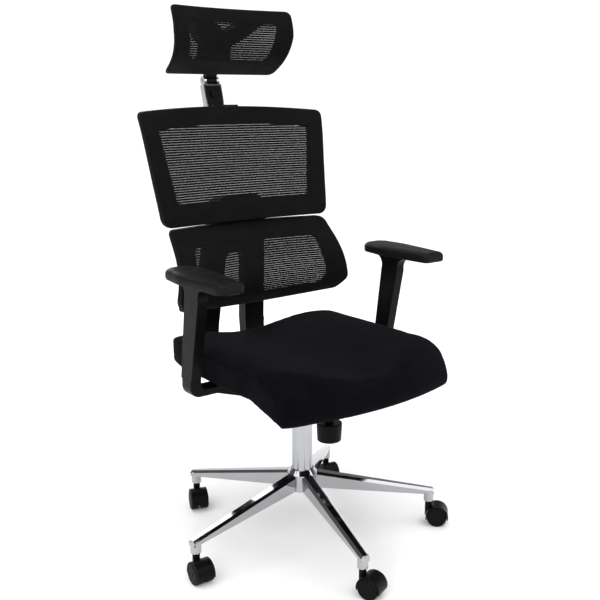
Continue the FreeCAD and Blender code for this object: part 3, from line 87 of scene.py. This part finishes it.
# Round and moulded pieces
PAD_POINTS = 160
WHEEL_POINTS = 56
WHEEL_INSIDE = 3.6          # mm from the castor's middle to the wheel's inner face


# ---------------------------------------------------------------- shader helpers

class Surface:
    """A procedural material: a Principled shader and the textures that feed it."""

    def __init__(self, name, colour, roughness, metallic=0.0, specular=0.5):
        self.material = bpy.data.materials.new(name)
        self.material.use_nodes = True
        self.nodes = self.material.node_tree.nodes
        self.links = self.material.node_tree.links
        self.shader = self.nodes["Principled BSDF"]
        self.shader.inputs["Base Color"].default_value = (*colour, 1)
        self.shader.inputs["Roughness"].default_value = roughness
        self.shader.inputs["Metallic"].default_value = metallic
        self.shader.inputs["Specular IOR Level"].default_value = specular
        self.place = self.nodes.new("ShaderNodeTexCoord").outputs["Object"]
        self.relief = None

    def put(self, socket, value):
        """Link an output into a socket, or set the socket's own value."""
        if isinstance(value, bpy.types.NodeSocket):
            self.links.new(value, socket)
        else:
            socket.default_value = value

    def sums(self, operation, first, second=0.0):
        node = self.nodes.new("ShaderNodeMath")
        node.operation = operation
        self.put(node.inputs[0], first)
        self.put(node.inputs[1], second)
        return node.outputs[0]

    def noise(self, size, detail=3.0, stretch=(1, 1, 1)):
        """Noise from 0 to 1 whose blotches are about that size, longer where stretch is under 1."""
        mapping = self.nodes.new("ShaderNodeMapping")
        mapping.inputs["Scale"].default_value = stretch
        self.links.new(self.place, mapping.inputs["Vector"])
        node = self.nodes.new("ShaderNodeTexNoise")
        node.inputs["Scale"].default_value = 1 / size
        node.inputs["Detail"].default_value = detail
        self.links.new(mapping.outputs["Vector"], node.inputs["Vector"])
        return node.outputs["Fac"]

    def pebbles(self, size):
        """Rounded cells of that size: 0 at a cell's middle."""
        node = self.nodes.new("ShaderNodeTexVoronoi")
        node.feature = "SMOOTH_F1"
        node.inputs["Scale"].default_value = 1 / size
        self.links.new(self.place, node.inputs["Vector"])
        return node.outputs["Distance"]

    def threads(self, direction, pitch, waver=0.0):
        """Ridges from -1 to 1 across a direction, one every pitch."""
        dot = self.nodes.new("ShaderNodeVectorMath")
        dot.operation = "DOT_PRODUCT"
        self.links.new(self.place, dot.inputs[0])
        dot.inputs[1].default_value = Vector(direction).normalized()
        along = self.sums("MULTIPLY", dot.outputs["Value"], 2 * math.pi / pitch)
        if waver:
            along = self.sums("ADD", along, self.sums("MULTIPLY", self.noise(pitch * 9), waver))
        return self.sums("SINE", along)

    def spread(self, value, low, high, start=0.3, end=0.7):
        """A value remapped to run from low to high."""
        node = self.nodes.new("ShaderNodeMapRange")
        self.put(node.inputs["Value"], value)
        node.inputs["From Min"].default_value = start
        node.inputs["From Max"].default_value = end
        node.inputs["To Min"].default_value = low
        node.inputs["To Max"].default_value = high
        return node.outputs["Result"]

    def tint(self, value, dark, light):
        """Base colour between two colours."""
        node = self.nodes.new("ShaderNodeMix")
        node.data_type = "RGBA"
        self.put(node.inputs["Factor"], value)
        colours = [socket for socket in node.inputs if socket.type == "RGBA"]
        colours[0].default_value = (*dark, 1)
        colours[1].default_value = (*light, 1)
        result = next(socket for socket in node.outputs if socket.type == "RGBA")
        self.links.new(result, self.shader.inputs["Base Color"])

    def rough(self, value):
        self.links.new(value, self.shader.inputs["Roughness"])

    def bump(self, height, depth, strength=1.0):
        """Add relief of that depth to the surface."""
        node = self.nodes.new("ShaderNodeBump")
        node.inputs["Strength"].default_value = strength
        node.inputs["Distance"].default_value = depth
        self.links.new(height, node.inputs["Height"])
        if self.relief is not None:
            self.links.new(self.relief, node.inputs["Normal"])
        self.relief = node.outputs["Normal"]
        self.links.new(self.relief, self.shader.inputs["Normal"])


def shade(rgb, factor):
    return tuple(channel * factor for channel in rgb)


# ---------------------------------------------------------------- materials

def chrome():
    """Bright plating with the faint haze and ripple of a polished casting."""
    skin = Surface("chrome_plate", (0.42, 0.425, 0.44), 0.06, metallic=1.0)
    skin.rough(skin.spread(skin.noise(0.02, 5), 0.035, 0.11))
    skin.tint(skin.noise(0.06, 2), (0.39, 0.395, 0.41), (0.45, 0.455, 0.47))
    skin.bump(skin.noise(0.035, 2), 0.00022, 0.5)
    return skin.material


def steel(name, colour, roughness):
    """Turned or ground steel: fine lines round the piece and a little mottling."""
    skin = Surface(name, colour, roughness, metallic=1.0)
    lines = skin.noise(0.0016, 2, stretch=(0.12, 0.12, 1))
    skin.rough(skin.spread(lines, roughness * 0.8, roughness * 1.25))
    skin.tint(skin.noise(0.012), shade(colour, 0.85), shade(colour, 1.1))
    skin.bump(lines, 0.00004)
    return skin.material


def painted(name, colour, roughness):
    """Powder coat: fine orange peel over a slightly uneven colour."""
    skin = Surface(name, colour, roughness)
    skin.tint(skin.noise(0.03), shade(colour, 0.8), shade(colour, 1.25))
    skin.rough(skin.spread(skin.noise(0.008), roughness * 0.85, roughness * 1.15))
    skin.bump(skin.noise(0.0016, 2), 0.00012, 0.8)
    return skin.material


def moulded(name, colour, roughness, grain=0.0007, depth=0.00009):
    """Moulded plastic with a spark-eroded grain, rubbed a little smoother in patches."""
    skin = Surface(name, colour, roughness, specular=0.08)
    skin.tint(skin.noise(0.045, 4), shade(colour, 0.82), shade(colour, 1.22))
    skin.rough(skin.spread(skin.noise(0.03, 5), roughness * 0.86, roughness * 1.14))
    skin.bump(skin.pebbles(grain), depth, 0.7)
    skin.bump(skin.noise(0.05, 2), 0.0002, 0.35)
    return skin.material


def soft_touch():
    """Skinned polyurethane foam of the arm pads: pebbled, dull, and a little uneven in tone."""
    colour = (0.0042, 0.0042, 0.0052)
    skin = Surface("arm_pad_skin", colour, 0.5, specular=0.1)
    skin.tint(skin.noise(0.03, 5), shade(colour, 0.85), shade(colour, 1.3))
    skin.rough(skin.spread(skin.noise(0.02, 4), 0.44, 0.58))
    skin.bump(skin.pebbles(0.0013), 0.00014, 0.8)
    skin.bump(skin.noise(0.012, 3), 0.00022, 0.4)
    return skin.material


def woven():
    """Woven seat cloth: crossing threads on every side, a soft nap and uneven dye."""
    colour = (0.0021, 0.0022, 0.0034)
    skin = Surface("seat_cloth", colour, 0.92, specular=0.03)
    skin.shader.inputs["Sheen Weight"].default_value = 0.02
    skin.shader.inputs["Sheen Roughness"].default_value = 0.45
    skin.shader.inputs["Sheen Tint"].default_value = (0.55, 0.56, 0.62, 1)
    pitch = 0.0016
    weave = skin.sums("ADD", skin.threads((1, 1, 0.8), pitch, 0.8),
                      skin.threads((1, -1, 0.8), pitch, 0.8))
    weave = skin.sums("ADD", weave, skin.threads((1, 1, -0.8), pitch, 0.8))
    skin.tint(skin.spread(skin.sums("ADD", skin.noise(0.05, 5), skin.sums("MULTIPLY", weave, 0.06)),
                          0, 1, 0.25, 0.75), shade(colour, 0.7), shade(colour, 1.45))
    skin.bump(weave, 0.00016, 0.75)
    skin.bump(skin.noise(0.004, 4), 0.00035, 0.5)
    return skin.material


def knitted(name, level):
    """Knitted polyester of the back panels: fine courses along x with loops between them."""
    colour = (0.0028 * level, 0.0028 * level, 0.0032 * level)
    skin = Surface(name, colour, 0.8, specular=0.08)
    skin.shader.inputs["Sheen Weight"].default_value = 0.01
    skin.shader.inputs["Sheen Roughness"].default_value = 0.5
    courses = skin.threads((0, 0.25, 1), 0.0012, 0.3)
    loops = skin.threads((1, 0, 0), 0.0016, 0.3)
    knit = skin.sums("ADD", courses, skin.sums("MULTIPLY", courses, loops))
    skin.tint(skin.spread(skin.sums("ADD", skin.noise(0.03, 4), skin.sums("MULTIPLY", knit, 0.08)),
                          0, 1, 0.25, 0.75), shade(colour, 0.7), shade(colour, 1.5))
    skin.bump(knit, 0.00014, 0.8)
    return skin.material


MATERIALS = {
    "chrome": chrome(),
    "steel": steel("ground_steel", (0.52, 0.52, 0.54), 0.32),
    "black_steel": painted("powder_coat", (0.008, 0.008, 0.0085), 0.42),
    "black_plastic": moulded("black_nylon", (0.0022, 0.0022, 0.0028), 0.36),
    "wheel": moulded("wheel_nylon", (0.0028, 0.0028, 0.0034), 0.45, grain=0.0009, depth=0.00007),
    "bush": moulded("acetal", (0.42, 0.41, 0.37), 0.38, grain=0.0006, depth=0.00003),
    "cushion": woven(),
    "mesh": knitted("knit_net", 1.0),
    "arm_pad": soft_touch(),
}
BORDER = knitted("knit_border", 0.9)


# ---------------------------------------------------------------- mesh helpers

def piece_from(name, points, faces, material, smooth=True):
    mesh = bpy.data.meshes.new(name)
    mesh.from_pydata([tuple(p) for p in points], [], faces)
    mesh.materials.append(material)
    mesh.polygons.foreach_set("use_smooth", [smooth] * len(mesh.polygons))
    mesh.update()
    piece = bpy.data.objects.new(name, mesh)
    bpy.context.scene.collection.objects.link(piece)
    return piece


def stands_for(piece, node):
    """The piece takes a CAD node's place: it rides the node's body and the node is hidden."""
    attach(piece, BODY_OF[node])
    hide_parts(node)
    return piece


def tree_of(node):
    mesh = frame["nodes"][node].data
    return BVHTree.FromPolygons([v.co.copy() for v in mesh.vertices],
                                [tuple(p.vertices) for p in mesh.polygons])


def use(piece, modifier_type, **settings):
    modifier = piece.modifiers.new(modifier_type.lower(), modifier_type)
    for key, value in settings.items():
        setattr(modifier, key, value)
    return modifier


def softened(node, width):
    """A copy of a CAD node with its sharp edges rounded, as moulding or casting leaves them."""
    mesh = frame["nodes"][node].data.copy()
    work = bmesh.new()
    work.from_mesh(mesh)
    bmesh.ops.remove_doubles(work, verts=work.verts, dist=WELD)
    bmesh.ops.dissolve_limit(work, angle_limit=math.radians(FLAT_ANGLE), verts=work.verts,
                             edges=work.edges)
    work.to_mesh(mesh)
    work.free()
    mesh.name = node + "_soft"
    mesh.materials.clear()
    mesh.materials.append(MATERIALS[SLOT_OF[node]])
    mesh.polygons.foreach_set("use_smooth", [True] * len(mesh.polygons))
    piece = bpy.data.objects.new(node + "_finished", mesh)
    bpy.context.scene.collection.objects.link(piece)
    use(piece, "BEVEL", width=width, segments=BEVEL_STEPS, limit_method="ANGLE",
        angle_limit=math.radians(SHARP_ANGLE), harden_normals=True, miter_outer="MITER_ARC")
    use(piece, "WEIGHTED_NORMAL", keep_sharp=True)
    return stands_for(piece, node)


# ---------------------------------------------------------------- mesh panels

class Panel:
    """A mesh panel's front surface and outlines, read from its CAD cover and frame."""

    def __init__(self, stem):
        self.stem = stem
        self.cover = tree_of(stem + "_mesh")
        self.rail = tree_of(stem + "_frame")
        self.low, self.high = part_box(stem + "_mesh")
        self.middle = (0.0, (self.low.z + self.high.z) / 2)
        self.reach = (self.high - self.low).length

    def depth(self, x, z):
        """y of the panel's front surface, or None outside it."""
        hit = self.cover.ray_cast(Vector((x, -1, z)), Vector((0, 1, 0)))
        return None if hit[0] is None else hit[0].y

    def on_rail(self, x, z):
        return self.rail.ray_cast(Vector((x, -1, z)), Vector((0, 1, 0)))[0] is not None

    def in_window(self, x, z):
        return self.depth(x, z) is not None and not self.on_rail(x, z)

    def boundary(self, angle, inside):
        """Where a ray from the panel's middle leaves the region, as (x, z)."""
        dx, dz = math.cos(angle), math.sin(angle)
        near, far = 0.0, self.reach
        for _ in range(HALVINGS):
            half = (near + far) / 2
            if inside(self.middle[0] + dx * half, self.middle[1] + dz * half):
                near = half
            else:
                far = half
        return self.middle[0] + dx * near, self.middle[1] + dz * near

    def outlines(self, count):
        """Matching points of the outer edge and of the window's edge."""
        outer, inner = [], []
        for i in range(count):
            angle = 2 * math.pi * i / count
            outer.append(self.boundary(angle, lambda x, z: self.depth(x, z) is not None))
            inner.append(self.boundary(angle, self.in_window))
        return outer, inner

    def safe_depth(self, x, z):
        """y of the front surface; just outside the panel, the value at its edge."""
        found = self.depth(x, z)
        cx, cz = self.middle
        pull = 1.0
        while found is None:
            pull -= INWARD_STEP
            found = self.depth(cx + (x - cx) * pull, cz + (z - cz) * pull)
        return found


def evenly(points, count):
    """A closed line of (x, z) points, spaced evenly along its length."""
    closed = points + [points[0]]
    lengths = [0.0]
    for a, b in zip(closed, closed[1:]):
        lengths.append(lengths[-1] + math.dist(a, b))
    result, k = [], 0
    for i in range(count):
        want = lengths[-1] * i / count
        while lengths[k + 1] < want:
            k += 1
        share = (want - lengths[k]) / max(lengths[k + 1] - lengths[k], 1e-9)
        a, b = closed[k], closed[k + 1]
        result.append((a[0] + (b[0] - a[0]) * share, a[1] + (b[1] - a[1]) * share))
    return result


def outward(points):
    """The outward direction at each point of a closed anticlockwise line."""
    count = len(points)
    result = []
    for i in range(count):
        ax, az = points[i - 1]
        bx, bz = points[(i + 1) % count]
        length = max(math.hypot(bx - ax, bz - az), 1e-9)
        result.append(((bz - az) / length, -(bx - ax) / length))
    return result


def ring_faces(rings, count):
    return [(r * count + i, r * count + (i + 1) % count,
             (r + 1) * count + (i + 1) % count, (r + 1) * count + i)
            for r in range(rings - 1) for i in range(count)]


def capped_faces(rings, count):
    """Faces between rings, with the first and the last ring closed."""
    ends = [tuple(range(count))[::-1], tuple(range((rings - 1) * count, rings * count))]
    return ring_faces(rings, count) + ends


def border(panel, wrap):
    """Cloth over the frame: from the window's edge, across the rail and wrap mm to its back."""
    outer, inner = panel.outlines(BORDER_POINTS)
    out_dir, in_dir = outward(outer), outward(inner)
    rings = []

    def ring(base, directions, shift, back):
        row = []
        for (x, z), (dx, dz) in zip(base, directions):
            px, pz = x + dx * shift, z + dz * shift
            row.append(Vector((px, panel.safe_depth(px, pz) + back, pz)))
        rings.append(row)

    def across(share, back):
        row = []
        for (ax, az), (bx, bz) in zip(inner, outer):
            px, pz = ax + (bx - ax) * share, az + (bz - az) * share
            row.append(Vector((px, panel.safe_depth(px, pz) + back, pz)))
        rings.append(row)

    ring(inner, in_dir, -HEM, 1.9 * MM)
    ring(inner, in_dir, -HEM - 0.3 * MM, 1.0 * MM)
    ring(inner, in_dir, -HEM + 0.4 * MM, 0.25 * MM)
    ring(inner, in_dir, 1.2 * MM, 0.0)
    for share in (0.2, 0.4, 0.6, 0.8):
        across(share, 0.0)
    for shift, back in ((-5, 0.1), (-2.6, 0.7), (-0.9, 2.0), (0.1, 4.2), (0.5, 7.0),
                        (0.5, wrap - 4.5), (0.1, wrap - 1.6), (-1.4, wrap + 0.4),
                        (-4.0, wrap + 1.0), (-8.5, wrap + 1.0), (-9.0, wrap + 0.1)):
        ring(outer, out_dir, shift * MM, back * MM)
    points = [p for row in rings for p in row]
    faces = ring_faces(len(rings), BORDER_POINTS)
    return piece_from(panel.stem + "_border", points, faces, BORDER)


def net(panel, row_pitch, hole_height, window):
    """Open knit inside the window: rows of small holes between solid courses."""
    reach_x = max(abs(x) for x, _ in window) + NET_TUCK
    low_z = min(z for _, z in window) - NET_TUCK
    high_z = max(z for _, z in window) + NET_TUCK
    columns = int(reach_x / HOLE_PITCH)
    xs = []
    for i in range(-columns, columns + 1):
        xs += [i * HOLE_PITCH - HOLE_WIDTH / 2, i * HOLE_PITCH + HOLE_WIDTH / 2]
    zs = []
    z = low_z
    while z < high_z:
        zs += [z, z + hole_height]
        z += row_pitch
    index = {}
    points = []
    middle = panel.middle

    def inside(x, z):
        """Within the tuck's width of the window, on the panel."""
        away = math.hypot(x - middle[0], z - middle[1])
        pull = max(away - NET_TUCK, 0.0) / max(away, 1e-9)
        return panel.in_window(middle[0] + (x - middle[0]) * pull,
                               middle[1] + (z - middle[1]) * pull)

    def vertex(i, j):
        if (i, j) not in index:
            x, z = xs[i], zs[j]
            index[i, j] = len(points)
            points.append(Vector((x, panel.safe_depth(x, z) + NET_SET_BACK, z)))
        return index[i, j]

    keep = [[inside(x, z) for z in zs] for x in xs]
    faces = []
    for i in range(len(xs) - 1):
        for j in range(len(zs) - 1):
            hole = i % 2 == 0 and j % 2 == 0
            corners = ((i, j), (i + 1, j), (i + 1, j + 1), (i, j + 1))
            if not hole and all(keep[a][b] for a, b in corners):
                faces.append(tuple(vertex(a, b) for a, b in corners))
    piece = piece_from(panel.stem + "_net", points, faces, MATERIALS["mesh"])
    use(piece, "SOLIDIFY", thickness=NET_WEIGHT, offset=-1)
    return piece


def flat_size(outline_points, depth_of):
    """Width and height of a panel laid flat, following its curve through the middle."""
    xs = [x for x, _ in outline_points]
    zs = [z for _, z in outline_points]
    cz = (min(zs) + max(zs)) / 2
    shares = [i / CURVE_STEPS for i in range(CURVE_STEPS + 1)]
    across = [Vector((min(xs) + (max(xs) - min(xs)) * share, 0, cz)) for share in shares]
    up = [Vector((0, 0, min(zs) + (max(zs) - min(zs)) * share)) for share in shares]
    sizes = []
    for line in (across, up):
        for p in line:
            p.y = depth_of(p.x, p.z)
        sizes.append(sum((b - a).length for a, b in zip(line, line[1:])))
    return sizes


def sizes_of(outline):
    """Width and height of an outline's (x, z) points."""
    return [max(values) - min(values) for values in zip(*outline)]


def area_of(outline):
    """Area inside an outline of (x, z) points."""
    pairs = zip(outline, outline[1:] + outline[:1])
    return abs(sum(ax * bz - bx * az for (ax, az), (bx, bz) in pairs)) / 2


def mesh_panel(stem, row_pitch, hole_height, wrap):
    """A panel's border and its net, with the net's flat size; all three numbers are in mm."""
    panel = Panel(stem)
    cover = border(panel, wrap)
    outline = panel.outlines(WINDOW_POINTS)[1]
    sheet = net(panel, row_pitch * MM, hole_height * MM, outline)
    stands_for(cover, stem + "_mesh")
    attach(sheet, BODY_OF[stem + "_mesh"])
    size = flat_size(outline, panel.safe_depth)
    across, up = sizes_of(outline)
    area = area_of(outline) * size[0] * size[1] / (across * up)


# ---------------------------------------------------------------- seat

def settle(piece, pressure, cap):
    """Swell a closed mesh as stuffed cloth, letting no point move further than cap."""
    rest = [v.co.copy() for v in piece.data.vertices]
    cloth = use(piece, "CLOTH")
    cloth.settings.use_pressure = True
    cloth.settings.uniform_pressure_force = pressure
    cloth.settings.effector_weights.gravity = 0
    cloth.point_cache.frame_start = 1
    cloth.point_cache.frame_end = CLOTH_STEPS
    for number in range(1, CLOTH_STEPS + 1):
        bpy.context.scene.frame_set(number)
    shown = piece.evaluated_get(bpy.context.evaluated_depsgraph_get())
    moved = [v.co.copy() for v in shown.data.vertices]
    piece.modifiers.remove(cloth)
    bpy.context.scene.frame_set(1)
    for vertex, old, new in zip(piece.data.vertices, rest, moved):
        step = new - old
        if step.length > cap:
            step = step.normalized() * cap
        vertex.co = old + step
    piece.data.update()


def remeshed(node, name, voxel, shrink):
    """A copy of a CAD solid with even small faces, a little smaller than the solid."""
    piece = bpy.data.objects.new(name, frame["nodes"][node].data.copy())
    bpy.context.scene.collection.objects.link(piece)
    use(piece, "REMESH", mode="VOXEL", voxel_size=voxel)
    shown = piece.evaluated_get(bpy.context.evaluated_depsgraph_get())
    mesh = bpy.data.meshes.new_from_object(shown)
    piece.modifiers.clear()
    piece.data = mesh
    for vertex in mesh.vertices:
        vertex.co -= vertex.normal * shrink
    return piece


def smooth_over(piece, rounds):
    work = bmesh.new()
    work.from_mesh(piece.data)
    for _ in range(rounds):
        bmesh.ops.smooth_vert(work, verts=work.verts, factor=0.5, use_axis_x=True,
                              use_axis_y=True, use_axis_z=True)
    work.to_mesh(piece.data)
    work.free()


def seat():
    """Foam seat under tight cloth: soft shoulders, a shallow dish and a waterfall front."""
    cushion = remeshed("seat_cushion", "seat_cushion_cloth", SEAT_VOXEL, SEAT_SHRINK)
    cushion.data.materials.clear()
    cushion.data.materials.append(MATERIALS["cushion"])
    smooth_over(cushion, 5)
    settle(cushion, SEAT_PRESSURE, SEAT_SWELL)
    smooth_over(cushion, 1)
    cushion.data.polygons.foreach_set("use_smooth", [True] * len(cushion.data.polygons))
    use(cushion, "SUBSURF", levels=1, render_levels=1)
    stands_for(cushion, "seat_cushion")


# ---------------------------------------------------------------- arm pads

def arm_pad(side):
    """A moulded pad: chamfered rim, gently crowned top and a parting line round its foot."""
    node = "arm_pad_" + side
    low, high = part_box(node)
    solid = tree_of(node)
    middle = Vector(((low.x + high.x) / 2, (low.y + high.y) / 2))
    half_way = (low.z + high.z) / 2
    outline = []
    for i in range(PAD_POINTS):
        angle = 2 * math.pi * i / PAD_POINTS
        direction = Vector((math.cos(angle), math.sin(angle), 0))
        hit = solid.ray_cast(Vector((middle.x, middle.y, half_way)), direction)[0]
        outline.append((hit.x, hit.y))
    outline = evenly(outline, PAD_POINTS)
    away = outward(outline)
    height = high.z - low.z
    rings = []
    profile = ((-7.0, 0.0), (-3.0, 0.0), (-1.6, 0.02), (-1.0, 0.07), (-1.5, 0.10), (-0.7, 0.14),
               (0.0, 0.22), (0.0, 0.40), (-0.1, 0.56), (-0.8, 0.68), (-2.6, 0.79), (-5.2, 0.88),
               (-8.2, 0.945), (-11.5, 0.975))
    for inset, share in profile:
        rings.append([Vector((x + dx * inset * MM, y + dy * inset * MM, low.z + height * share))
                      for (x, y), (dx, dy) in zip(outline, away)])
    last = rings[-1]
    for share in (0.8, 0.55, 0.3, 0.1):
        lift = height * 0.025 * (1 - share ** 2)
        rings.append([Vector((middle.x + (p.x - middle.x) * share,
                              middle.y + (p.y - middle.y) * share, p.z + lift)) for p in last])
    pad = piece_from(node + "_skin", [p for row in rings for p in row],
                     capped_faces(len(rings), PAD_POINTS), MATERIALS["arm_pad"])
    use(pad, "SUBSURF", levels=1, render_levels=1)
    stands_for(pad, node)


# ---------------------------------------------------------------- castor wheels

def spun(name, centre, axis, profile, material):
    """A round piece from (radius, distance along the axis) points."""
    axis = Vector(axis).normalized()
    side = axis.orthogonal().normalized()
    other = axis.cross(side)
    points = []
    for radius, along in profile:
        for i in range(WHEEL_POINTS):
            turn = 2 * math.pi * i / WHEEL_POINTS
            points.append(centre + axis * along
                          + (side * math.cos(turn) + other * math.sin(turn)) * radius)
    return piece_from(name, points, capped_faces(len(profile), WHEEL_POINTS), material)


def wheels():
    """Nylon wheels: a rounded tread, a raised rim, a shallow dish and a hub cap."""
    # radius and distance from the wheel's inner face, both in mm
    profile = ((4.0, 0.6), (22.0, 0.6), (23.6, 0.2), (24.7, 1.0), (25.0, 2.4), (25.0, 15.6),
               (24.6, 17.4), (23.4, 18.5), (22.0, 18.8), (21.0, 18.6), (20.5, 17.9), (19.9, 17.8),
               (19.3, 18.2), (13.0, 18.7), (8.2, 18.8), (7.7, 18.4), (7.1, 18.4), (6.6, 18.9),
               (2.0, 19.1))
    for joint in frame["joints"]:
        if not joint["name"].endswith("_roll"):
            continue
        node = joint["name"][:-len("_roll")]
        low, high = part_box(node)
        centre = Vector(joint["pos_m"])
        axis = Vector(joint["axis"])
        if ((low + high) / 2 - centre).dot(axis) < 0:
            axis = -axis
        wheel = spun(node + "_tyre", centre, axis,
                     [(radius * MM, (WHEEL_INSIDE + along) * MM) for radius, along in profile],
                     MATERIALS["wheel"])
        stands_for(wheel, node)


# ---------------------------------------------------------------- everything else

def plain_nodes():
    """CAD nodes whose shape is right: rounded where they show, or kept with a better finish."""
    rounding = {
        "star_base": 1.0, "mechanism_housing": 1.2, "tension_knob": 0.8, "seat_pan": 1.6,
        "back_carrier": 1.5, "back_spine": 3.0, "upper_frame": 3.0, "lumbar_frame": 3.0,
        "headrest_frame": 2.4, "headrest_support": 3.0, "headrest_socket": 0.8,
        "lumbar_arm": 2.5, "gas_lever": 1.5, "tilt_lock_lever": 1.5, "post_cover": 0.8,
        "gas_column_tube": 0.5, "column_guide_bush": 0.5, "gas_cylinder": 0.5,
    }
    for side in SIDES:
        rounding["arm_sleeve_" + side] = 4.5
        rounding["arm_bracket_" + side] = 3.0
        rounding["arm_button_" + side] = 0.6
    for letter in CASTORS:
        rounding[f"castor_{letter}_hood"] = 0.9
    for node, width in rounding.items():
        softened(node, width * MM)
    for node, thing in frame["nodes"].items():
        material = MATERIALS[SLOT_OF[node]]
        if thing.data.materials:
            for slot in thing.material_slots:
                slot.material = material
        else:
            thing.data.materials.append(material)


# ---------------------------------------------------------------- stage

def stage():
    floor = piece_from("floor", [(-30, -30, 0), (30, -30, 0), (30, 30, 0), (-30, 30, 0)],
                       [(0, 1, 2, 3)], pale_floor(), smooth=False)


def pale_floor():
    skin = Surface("pale_floor", (0.93, 0.93, 0.93), 0.9, specular=0.0)
    skin.tint(skin.noise(1.5, 2), (0.92, 0.92, 0.92), (0.95, 0.95, 0.95))
    return skin.material


def studio_world():
    """A room that is white up to a little over the horizon and dim above it."""
    world = bpy.data.worlds.new("studio")
    bpy.context.scene.world = world
    world.use_nodes = True
    nodes, links = world.node_tree.nodes, world.node_tree.links
    background = nodes["Background"]
    direction = nodes.new("ShaderNodeTexCoord").outputs["Generated"]
    split = nodes.new("ShaderNodeSeparateXYZ")
    links.new(direction, split.inputs["Vector"])
    fall = nodes.new("ShaderNodeMapRange")
    fall.interpolation_type = "SMOOTHSTEP"
    fall.inputs["From Min"].default_value = 0.16
    fall.inputs["From Max"].default_value = 0.34
    fall.inputs["To Min"].default_value = 1.1
    fall.inputs["To Max"].default_value = 0.16
    links.new(split.outputs["Z"], fall.inputs["Value"])
    background.inputs["Color"].default_value = (1, 1, 1, 1)
    links.new(fall.outputs["Result"], background.inputs["Strength"])


def lights():
    bpy.context.scene.view_settings.view_transform = "Standard"
    studio_world()
    overhead = bpy.data.lights.new("overhead", "SUN")
    overhead.energy = 3.6
    overhead.angle = math.radians(100)
    holder = bpy.data.objects.new("overhead", overhead)
    holder.rotation_euler = (math.radians(14), math.radians(-12), 0)
    bpy.context.scene.collection.objects.link(holder)
    for name, place, size, power in (
            ("left_box", (-2.6, -1.6, 1.5), 1.4, 16), ("right_box", (2.4, -2.6, 1.9), 1.6, 22),
            ("rear_box", (0.8, 2.8, 1.7), 1.6, 22)):
        lamp = bpy.data.lights.new(name, "AREA")
        lamp.size = size
        lamp.energy = power
        holder = bpy.data.objects.new(name, lamp)
        holder.location = place
        aim = Vector((0, 0, 0.7)) - Vector(place)
        holder.rotation_euler = aim.to_track_quat("-Z", "Y").to_euler()
        bpy.context.scene.collection.objects.link(holder)


def camera():
    """The camera of the reference view: its angles, its distance and what it aims at."""
    azimuth, elevation, roll = math.radians(-39.5), math.radians(13.4), math.radians(0.49)
    distance, sideways, height = 2.142, 0.104, 0.586
    target = Vector((sideways * math.cos(azimuth), sideways * math.sin(azimuth), height))
    back = Vector((math.sin(azimuth) * math.cos(elevation),
                   -math.cos(azimuth) * math.cos(elevation), math.sin(elevation)))
    data = bpy.data.cameras.new("camera")
    data.sensor_width = 36.0
    data.lens = 54.8
    data.shift_x = -0.0768
    data.shift_y = 0.0045
    data.clip_end = 100
    thing = bpy.data.objects.new("camera", data)
    thing.location = target + back * distance
    thing.rotation_mode = "QUATERNION"
    thing.rotation_quaternion = ((-back).to_track_quat("-Z", "Y")
                                 @ Matrix.Rotation(roll, 4, "Z").to_quaternion())
    bpy.context.scene.collection.objects.link(thing)
    bpy.context.scene.camera = thing


camera()
lights()
stage()
plain_nodes()
for panel_stem, measures in PANELS.items():
    mesh_panel(panel_stem, *measures)
seat()
for side_name in SIDES:
    arm_pad(side_name)
wheels()
